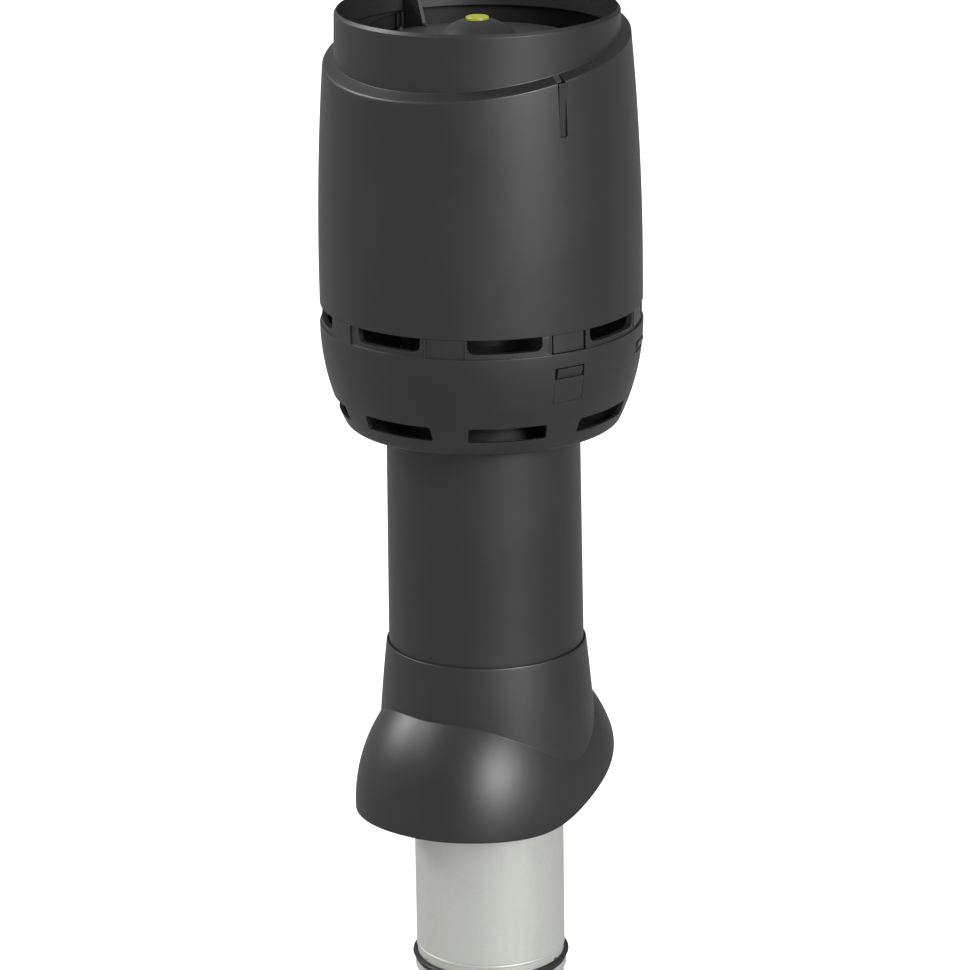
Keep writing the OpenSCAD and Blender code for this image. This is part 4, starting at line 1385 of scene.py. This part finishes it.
        place(lathe("hub_ledge", ledge), Body.VENT, Slot.BLACK, finishes)
        low_z, high_z = 544.0, 548.0
        neck = [(self.hub_in, low_z), (out, low_z), (out, high_z), (self.hub_in, high_z)]
        place(lathe("hub_neck", neck), Body.VENT, Slot.BLACK, finishes)


@dataclass
class RoofSkirt:
    """The roof cover: a round neck on a squared dome, with a slanted, arched lower edge."""

    neck_z: float = 318.5
    neck_r: float = 82.5
    neck_h: float = 93.0
    mouth_r: float = 81.2
    wall: float = 2.6
    half_length: float = 121.2
    half_width: float = 96.4
    dome_h: float = 122.3
    dome_z: float = 185.4
    square: float = 2.32
    pitch: float = 18.1
    rim_z: float = 201.7
    rim_arch: float = 16.4
    crease: float = 0.12
    top_round: float = 0.8

    def neck(self, height: np.ndarray) -> np.ndarray:
        """Returns the neck's outer radius at each height."""
        d = self.neck_z - height
        return self.neck_r + 0.115 * d - 0.0003 * d * d

    def dome(self, azimuth: np.ndarray, height: np.ndarray, inset: float = 0.0) -> np.ndarray:
        """Radius of the dome.

        Args:
            azimuth: where, in degrees.
            height: height above the duct's lower end.
            inset: distance inwards from the outer side.

        Returns:
            The radius at each azimuth and height, or 0 above the dome.
        """
        a = np.radians(azimuth)
        across = np.abs(np.sin(a)) / (self.half_width - inset)
        along = np.abs(np.cos(a)) / (self.half_length - inset)
        up = (height - self.dome_z) / (self.dome_h - inset)
        level = np.sqrt(np.clip(1 - up * up, 0.0, None))
        return level / (across**self.square + along**self.square) ** (1 / self.square)

    def rim(self, azimuth: np.ndarray) -> np.ndarray:
        """Returns the height of the lower edge at each azimuth."""
        a = np.radians(azimuth)
        rise = self.half_length * math.tan(math.radians(self.pitch))
        slant = 0.862 * np.cos(a) + 0.093 * np.cos(3 * a) + 0.045 * np.cos(5 * a)
        return self.rim_z - rise * slant + self.rim_arch * (np.cos(2 * a) + 0.147 * np.cos(4 * a))

    def surface(self, azimuth: np.ndarray, height: np.ndarray, inset: float = 0.0) -> np.ndarray:
        """Radius of neck and dome together, with a tight crease between them.

        Args:
            azimuth: where, in degrees.
            height: height above the duct's lower end.
            inset: distance inwards from the outer side.

        Returns:
            The radius.
        """
        return softened(self.neck(height) - inset, self.dome(azimuth, height, inset), self.crease)

    def junction(self, azimuth: np.ndarray, inset: float = 0.0) -> np.ndarray:
        """Height at which the dome meets the neck.

        Args:
            azimuth: where, in degrees.
            inset: distance inwards from the outer side.

        Returns:
            The height at each azimuth.
        """
        def above(z: np.ndarray) -> np.ndarray:
            """Returns how far the neck stands outside the dome at a height."""
            return self.neck(z) - inset - self.dome(azimuth, z, inset)

        return solved(above, 200.0, 300.0, azimuth.shape)

    def rows(self, azimuths: np.ndarray) -> list[tuple[np.ndarray, np.ndarray]]:
        """Rows of the cover: up the outer side, over the mouth and down the inner side.

        Args:
            azimuths: the columns.

        Returns:
            The radius and height of each row's points.
        """
        rim, top = self.rim(azimuths), self.neck_z
        near = np.array([-2.0, -1.0, -0.4, -0.15, -0.05, 0.0, 0.05, 0.15, 0.4, 1.0, 2.0])[:, None]
        meet, meet_in = self.junction(azimuths), self.junction(azimuths, self.wall)
        up, fine = np.linspace(0, 1, 46)[:, None], np.linspace(0, 1, 28)[:, None]
        low, high = rim + 0.7, meet - 3.2
        outer = np.concatenate([low + (high - low) * up, meet + near, meet + 3.2 + (top - 4.4 - meet) * fine])
        rows = [(self.surface(azimuths, z), z) for z in outer]
        size = self.top_round
        for turn in np.linspace(0, math.pi / 2, 6):
            out, up_to = self.neck_r - size + size * math.cos(turn), top - size + size * math.sin(turn)
            rows.append(self.ring(azimuths, out, up_to))
        for inset, drop in ((0.35, 0.0), (0.1, 0.1), (0.0, 0.4)):
            rows.append(self.ring(azimuths, self.mouth_r + inset, top - drop))
        down, few = np.linspace(0, 1, 20)[:, None], np.linspace(0, 1, 30)[:, None]
        start, end = meet_in - 3.0, rim + 0.6
        neck_part = top - 1.2 + (meet_in + 4.2 - top) * down
        inner = np.concatenate([neck_part, meet_in + near[::-2], start + (end - start) * few])
        rows += [(np.maximum(self.surface(azimuths, z, self.wall), self.mouth_r), z) for z in inner]
        edge_in, edge_out = self.surface(azimuths, rim, self.wall), self.surface(azimuths, rim)
        rows += [(edge_in + 0.15, rim + 0.15), (edge_in + 0.55, rim)]
        rows += [(edge_out - 0.7, rim), (edge_out - 0.2, rim + 0.2)]
        return rows

    @staticmethod
    def ring(azimuths: np.ndarray, radius: float, height: float) -> tuple[np.ndarray, np.ndarray]:
        """Returns a level row of points."""
        return np.full(azimuths.shape, radius), np.full(azimuths.shape, height)

    def build(self, finishes: Finishes) -> None:
        """Makes the cover and the sleeve inside it."""
        azimuths = np.linspace(0, 360, 360, endpoint=False)
        rows = self.rows(azimuths)
        radius = np.stack([row[0] for row in rows])
        height = np.stack([row[1] for row in rows])
        mesh = Mesh()
        mesh.skin(mesh.put(turned(azimuths, radius, height)), along=True)
        place(mesh.build("roof_skirt_form", 28), Body.SKIRT, Slot.BLACK, finishes, "roof_skirt")
        self.build_sleeve(finishes)

    def build_sleeve(self, finishes: Finishes) -> None:
        """Makes the neck's inner sleeve with the groove that the slip ring turns in."""
        low = self.neck_z - self.neck_h
        carrier_r, carrier_z, seal_top = 81.0, 280.5, 303.5
        outer = [(float(self.neck(np.array(z))) - 0.3, z, 0.0) for z in np.linspace(low, 312, 10)]
        inner = [
            (81.2, 312.0, 0.0), (81.2, seal_top + 0.4, 0.0), (carrier_r + 1.2, seal_top + 0.4, 0.0),
            (carrier_r + 1.2, carrier_z + 4.1, 0.0), (carrier_r + 2.9, carrier_z + 3.3, 0.0),
            (carrier_r + 2.9, carrier_z - 0.3, 0.0), (carrier_r + 2.2, carrier_z - 0.3, 0.0),
            (carrier_r + 2.2, carrier_z - 2.4, 0.3),
        ]
        for z in np.linspace(274, low, 6):
            inner.append((float(self.neck(np.array(z))) - self.wall, z, 0.6 if z == low else 0.0))
        sleeve = lathe("skirt_sleeve", rounded(outer + inner, 3))
        place(sleeve, Body.SKIRT, Slot.BLACK, finishes)


def softened(first: np.ndarray, second: np.ndarray, width: float) -> np.ndarray:
    """The larger of two values, with a soft change from one to the other.

    Args:
        first: one value.
        second: the other.
        width: difference over which they are blended.

    Returns:
        The blended maximum.
    """
    gap = np.clip(width - np.abs(first - second), 0.0, None) / width
    return np.maximum(first, second) + gap * gap * width / 4


@dataclass
class Tubes:
    """The outer pipe, the duct, and the spigot that ends it."""

    pipe_r: float = 80.6
    pipe_top_r: float = 78.7
    pipe_wall: float = 3.0
    pipe_z: float = 205.0
    pipe_straight: float = 110.0
    pipe_top_z: float = 545.0
    duct_r: float = 62.5
    duct_low: float = 48.9
    duct_top: float = 585.0
    spigot_r: float = 61.65
    spigot_top: float = 84.8
    sheet: float = 0.8
    bead: Corner = (60.95, 47.1, 1.7)
    groove: Corner = (62.15, 22.2, 1.8)

    def build(self, finishes: Finishes) -> None:
        """Makes the three tubes."""
        r, t, wall = self.pipe_r, self.pipe_top_r, self.pipe_wall
        z, bend, top = self.pipe_z, self.pipe_z + self.pipe_straight, self.pipe_top_z
        pipe = rounded([
            (r, z, 0.6), (r, z + 24, 0.3), (r - 0.8, z + 24.1, 0.3),
            (r - 0.8, z + 25.9, 0.3), (r, z + 26, 0.3),
            (r, bend, 0.0), (t, top, 0.6), (t - wall, top, 0.6), (r - wall, bend, 0.0), (r - wall, z, 0.6),
        ], 3)
        place(lathe("outer_pipe_form", pipe), Body.VENT, Slot.BLACK, finishes, "outer_pipe")
        out, bore = self.duct_r, self.duct_r - self.sheet
        heights = np.linspace(self.duct_low + 0.3, self.duct_top, 6)
        duct = [(bore, z) for z in heights[::-1]] + [(bore + 0.2, self.duct_low), (out - 0.2, self.duct_low)]
        duct += [(out, z) for z in heights]
        place(lathe("inner_duct_form", duct, 288), Body.VENT, Slot.ZINC, finishes, "inner_duct")
        spigot = lathe("duct_spigot_form", self.spigot_outline(), 288)
        place(spigot, Body.VENT, Slot.ZINC, finishes, "duct_spigot")

    def spigot_outline(self) -> list[Pair]:
        """Returns the spigot's outline, with its bead and its rolled groove."""
        out, bore, top = self.spigot_r, self.spigot_r - self.sheet, self.spigot_top
        bead_r, bead_z, bead = self.bead
        groove_r, groove_z, groove = self.groove
        inner = bead - self.sheet
        outline = [(bore, top), (bore, bead_z + 2.2)]
        for a in np.linspace(1.4, -1.4, 9):
            outline.append((bead_r + inner * math.cos(a), bead_z + inner * math.sin(a)))
        outline += [(bore, bead_z - 2.2)]
        outline += self.rolled(groove_r, groove_z, groove + self.sheet, bore)[::-1]
        outline += [(bore, 0.2), (bore + 0.2, 0.0), (out - 0.2, 0.0), (out, 0.2)]
        outline += self.rolled(groove_r, groove_z, groove, out)
        outline += self.rolled(bead_r, bead_z, -bead, out)
        return outline + [(out, top)]

    @staticmethod
    def rolled(centre_r: float, centre_z: float, reach: float, wall_r: float) -> list[Pair]:
        """Points of a rolled groove or bead, from below to above.

        Args:
            centre_r: radius at which its round section is centred.
            centre_z: height of that centre.
            reach: radius of the section, negative for a bead that stands out.
            wall_r: radius of the wall that it leaves.

        Returns:
            The points.
        """
        limit = math.acos((centre_r - wall_r) / reach)
        return [
            (centre_r - reach * math.cos(a), centre_z + abs(reach) * math.sin(a))
            for a in np.linspace(-limit, limit, 13)
        ]


@dataclass
class DuctGasket:
    """The rubber ring on the spigot, with its one slanted lip."""

    foot: float = 61.7
    low: float = 26.0
    wall: float = 1.4
    reach: float = 4.05
    lip_z: float = 12.4
    height: float = 13.8

    def build(self, finishes: Finishes) -> None:
        """Makes the ring."""
        foot, z, wall, reach = self.foot, self.low, self.wall, self.reach
        ring = rounded([
            (foot, z, 0.1), (foot + 1.0, z, 0.2), (foot + wall, z + 1, 0.2),
            (foot + wall, z + self.lip_z - 2.2, 0.6),
            (foot + reach - 0.6, z + self.lip_z - 1.0, 0.3), (foot + reach, z + self.lip_z - 0.4, 0.25),
            (foot + reach, z + self.lip_z + 0.4, 0.25), (foot + reach - 0.5, z + self.lip_z + 0.9, 0.3),
            (foot + wall, z + self.height, 0.3), (foot, z + self.height, 0.1),
        ], 3)
        place(lathe("duct_gasket_form", ring, 288), Body.VENT, Slot.RUBBER, finishes, "duct_gasket")


@dataclass
class RainCatcher:
    """The domed disc in the mouth, with the button in its middle."""

    top_z: float = 837.4
    dome_r: float = 42.0
    fillet: float = 14.0
    slope: float = 5.0
    radius: float = 86.0
    thick: float = 2.5
    lip: float = 6.0
    button_r: float = 9.25
    button_rise: float = 1.1
    bore_r: float = 9.3
    button_h: float = 8.3

    def upper_side(self) -> list[Pair]:
        """Returns the disc's upper side, from the button's bore to the rim."""
        brink = math.radians(45)
        across = np.linspace(self.bore_r, self.dome_r * math.sin(brink), 16)
        dome = [(r, self.top_z - self.dome_r + math.sqrt(self.dome_r**2 - r * r)) for r in across]
        centre_r = (self.dome_r + self.fillet) * math.sin(brink)
        centre_z = self.top_z - self.dome_r + (self.dome_r + self.fillet) * math.cos(brink)
        for turn in np.linspace(42, self.slope, 10):
            a = math.radians(turn)
            dome.append((centre_r - self.fillet * math.sin(a), centre_z - self.fillet * math.cos(a)))
        return dome

    def build(self, finishes: Finishes) -> None:
        """Makes the disc and the button."""
        upper = self.upper_side()
        flat_r, flat_z = upper[-1]
        drop = math.tan(math.radians(self.slope))
        edge_z = flat_z - (self.radius - flat_r) * drop
        seat_z = self.top_z + 2.77 - self.button_h - 8.0
        corners: list[Corner] = [(r, z, 0.0) for r, z in upper]
        corners += [
            (self.radius, edge_z, 1.4), (self.radius, edge_z - self.lip, 0.6),
            (self.radius - self.thick, edge_z - self.lip, 0.6),
            (self.radius - self.thick, edge_z - self.thick, 1.0),
        ]
        corners += [(r, z - self.thick, 0.0) for r, z in upper[:0:-1] if r > self.bore_r + 3]
        corners += [
            (self.bore_r + 2.5, self.top_z - 4.4, 0.4), (self.bore_r + 2.5, seat_z - 3.0, 0.5),
            (4.05, seat_z - 3.0, 0.2), (4.05, seat_z, 0.2), (self.bore_r, seat_z, 0.3),
        ]
        place(lathe("rain_disc_form", rounded(corners, 5)), Body.VENT, Slot.BLACK, finishes, "rain_disc")
        self.build_button(finishes, seat_z)

    def build_button(self, finishes: Finishes, seat_z: float) -> None:
        """Makes the button.

        Args:
            finishes: the materials.
            seat_z: height of the floor under its spring.
        """
        top = self.top_z + self.button_rise
        r, stem = self.button_r, 4.0
        tip = seat_z - 3.0 - 0.1 - 2.95
        corners: list[Corner] = [
            (0.001, top - 0.15, 0.0), (r - 2.6, top - 0.1, 0.0), (r, top, 1.0), (r, top - self.button_h, 0.3),
            (stem, top - self.button_h, 0.2), (stem, tip + 3.0, 0.0), (stem - 1, tip + 3.0, 0.0),
            (stem - 1, tip + 1.5, 0.0), (stem, tip + 1.5, 0.0), (stem, tip, 0.4), (0.001, tip, 0.0),
        ]
        button = lathe("yellow_button_form", rounded(corners, 5), 96)
        place(button, Body.BUTTON, Slot.YELLOW, finishes, "yellow_button")


# Studio


@dataclass
class Studio:
    """The floor, the lights and the camera."""

    azimuth: float = 35.5
    distance: float = 3.41403
    height: float = 1.5238
    pitch: float = math.degrees(0.305)
    roll: float = -0.0146
    focal: float = 4371.06
    frame_px: float = 970.0
    side_shift: float = 0.0007
    floor_tone: float = 0.8
    room_light: float = 0.43
    dark_side: float = 122.0
    dark_share: float = 0.5
    key_from: tuple[float, float, float] = (36.0, 21.0, 24.0)
    left_from: tuple[float, float, float] = (-104.0, 36.0, 12.0)

    def directions(self) -> tuple[Vector, Vector]:
        """Returns the level directions away from the camera and to its right."""
        a = math.radians(self.azimuth)
        return Vector((-math.sin(a), math.cos(a), 0.0)), Vector((math.cos(a), math.sin(a), 0.0))

    def build_camera(self) -> None:
        """Places the camera at the photograph's viewing angle."""
        away, right = self.directions()
        pitch = math.radians(self.pitch)
        ahead = away * math.cos(pitch) - Vector((0, 0, 1)) * math.sin(pitch)
        up = right.cross(ahead)
        side = right * math.cos(self.roll) + up * math.sin(self.roll)
        top = up * math.cos(self.roll) - right * math.sin(self.roll)
        turn = Matrix((side, top, -ahead)).transposed().to_4x4()
        data = bpy.data.cameras.new("camera")
        data.sensor_width = 36.0
        data.lens = 36.0 * self.focal / self.frame_px
        data.clip_start, data.clip_end = 0.1, 100.0
        camera = bpy.data.objects.new("camera", data)
        place_at = -away * self.distance + Vector((0, 0, self.height)) + right * self.side_shift
        camera.matrix_world = Matrix.Translation(place_at) @ turn
        bpy.context.scene.collection.objects.link(camera)
        bpy.context.scene.camera = camera

    def lamp(
        self, name: str, turn: float, rise: float, spread: float, strength: float, gloss_only: bool = False
    ) -> None:
        """Shines a broad soft light from far away.

        Args:
            name: the light's name.
            turn: degrees from the camera's side of the object towards the right.
            rise: degrees above the horizon.
            spread: how wide the light is, in degrees.
            strength: how strongly it lights what faces it.
            gloss_only: whether only its reflection shows.
        """
        data = bpy.data.lights.new(name, "SUN")
        data.angle = math.radians(spread)
        data.energy = strength
        a, up = math.radians(self.azimuth + turn), math.radians(rise)
        towards = Vector((math.sin(a) * math.cos(up), -math.cos(a) * math.cos(up), math.sin(up)))
        light = bpy.data.objects.new(name, data)
        light.location = towards * 4.0
        light.visible_diffuse = not gloss_only
        light.rotation_mode = "QUATERNION"
        light.rotation_quaternion = towards.to_track_quat("Z", "Y")
        bpy.context.scene.collection.objects.link(light)

    def build_floor(self) -> None:
        """Lays a wide pale floor that only the camera sees as plain white."""
        mesh = Mesh()
        half, level = 30000.0, -0.5
        square = ((-half, -half), (half, -half), (half, half), (-half, half))
        mesh.cap(mesh.put(np.array([(x, y, level) for x, y in square])))
        floor = mesh.build("studio_floor", even=False)
        material = bpy.data.materials.new("floor_paint")
        material.use_nodes = True
        shader = next(n for n in material.node_tree.nodes if n.type == "BSDF_PRINCIPLED")
        shader.inputs["Base Color"].default_value = (self.floor_tone, self.floor_tone, self.floor_tone, 1)
        shader.inputs["Roughness"].default_value = 0.9
        shader.inputs["Specular IOR Level"].default_value = 0.0
        shader.inputs["Emission Color"].default_value = (1, 1, 1, 1)
        seen = material.node_tree.nodes.new("ShaderNodeLightPath").outputs["Is Camera Ray"]
        material.node_tree.links.new(seen, shader.inputs["Emission Strength"])
        floor.data.materials.append(material)

    def build_world(self) -> None:
        """Fills the room with soft light, darker on one side; only the camera sees it as plain white."""
        world = bpy.data.worlds.new("room")
        world.use_nodes = True
        board = Board(world.node_tree)
        background = world.node_tree.nodes["Background"]
        background.inputs["Color"].default_value = (1, 1, 1, 1)
        towards = board.add("VectorMath", operation="DOT_PRODUCT")
        board.join(board.add("TexCoord").outputs["Generated"], towards.inputs[0])
        a = math.radians(self.azimuth + self.dark_side)
        towards.inputs[1].default_value = (math.sin(a), -math.cos(a), 0.0)
        dark = self.room_light * self.dark_share
        room = board.span(towards.outputs["Value"], 0.4, 0.8, self.room_light, dark)
        seen = board.add("LightPath").outputs["Is Camera Ray"]
        board.join(board.span(seen, 0.0, 1.0, room, 1.0), background.inputs["Strength"])
        bpy.context.scene.world = world
        bpy.context.scene.view_settings.view_transform = "Standard"

    def build(self) -> None:
        """Makes the camera, the floor and the lights; both sheens show only as reflections."""
        self.build_camera()
        self.build_floor()
        self.build_world()
        self.lamp("key", *self.key_from, 0.95)
        self.lamp("key_sheen", *self.key_from, 4.3, True)
        self.lamp("left_edge", *self.left_from, 0.8)
        self.lamp("left_sheen", *self.left_from, 1.8, True)


def main() -> None:
    """Builds the studio, the finishes and every sub-assembly in order."""
    logging.basicConfig(level=logging.INFO, format="%(message)s")
    Studio().build()
    finishes = Finishes()
    finishes.dress_frame()
    cowl = (CowlShell(), SnapTongues(), PiercedBowl())
    for assembly in (*cowl, RoofSkirt(), Tubes(), DuctGasket(), RainCatcher()):
        assembly.build(finishes)


if __name__ == "__main__":
    main()
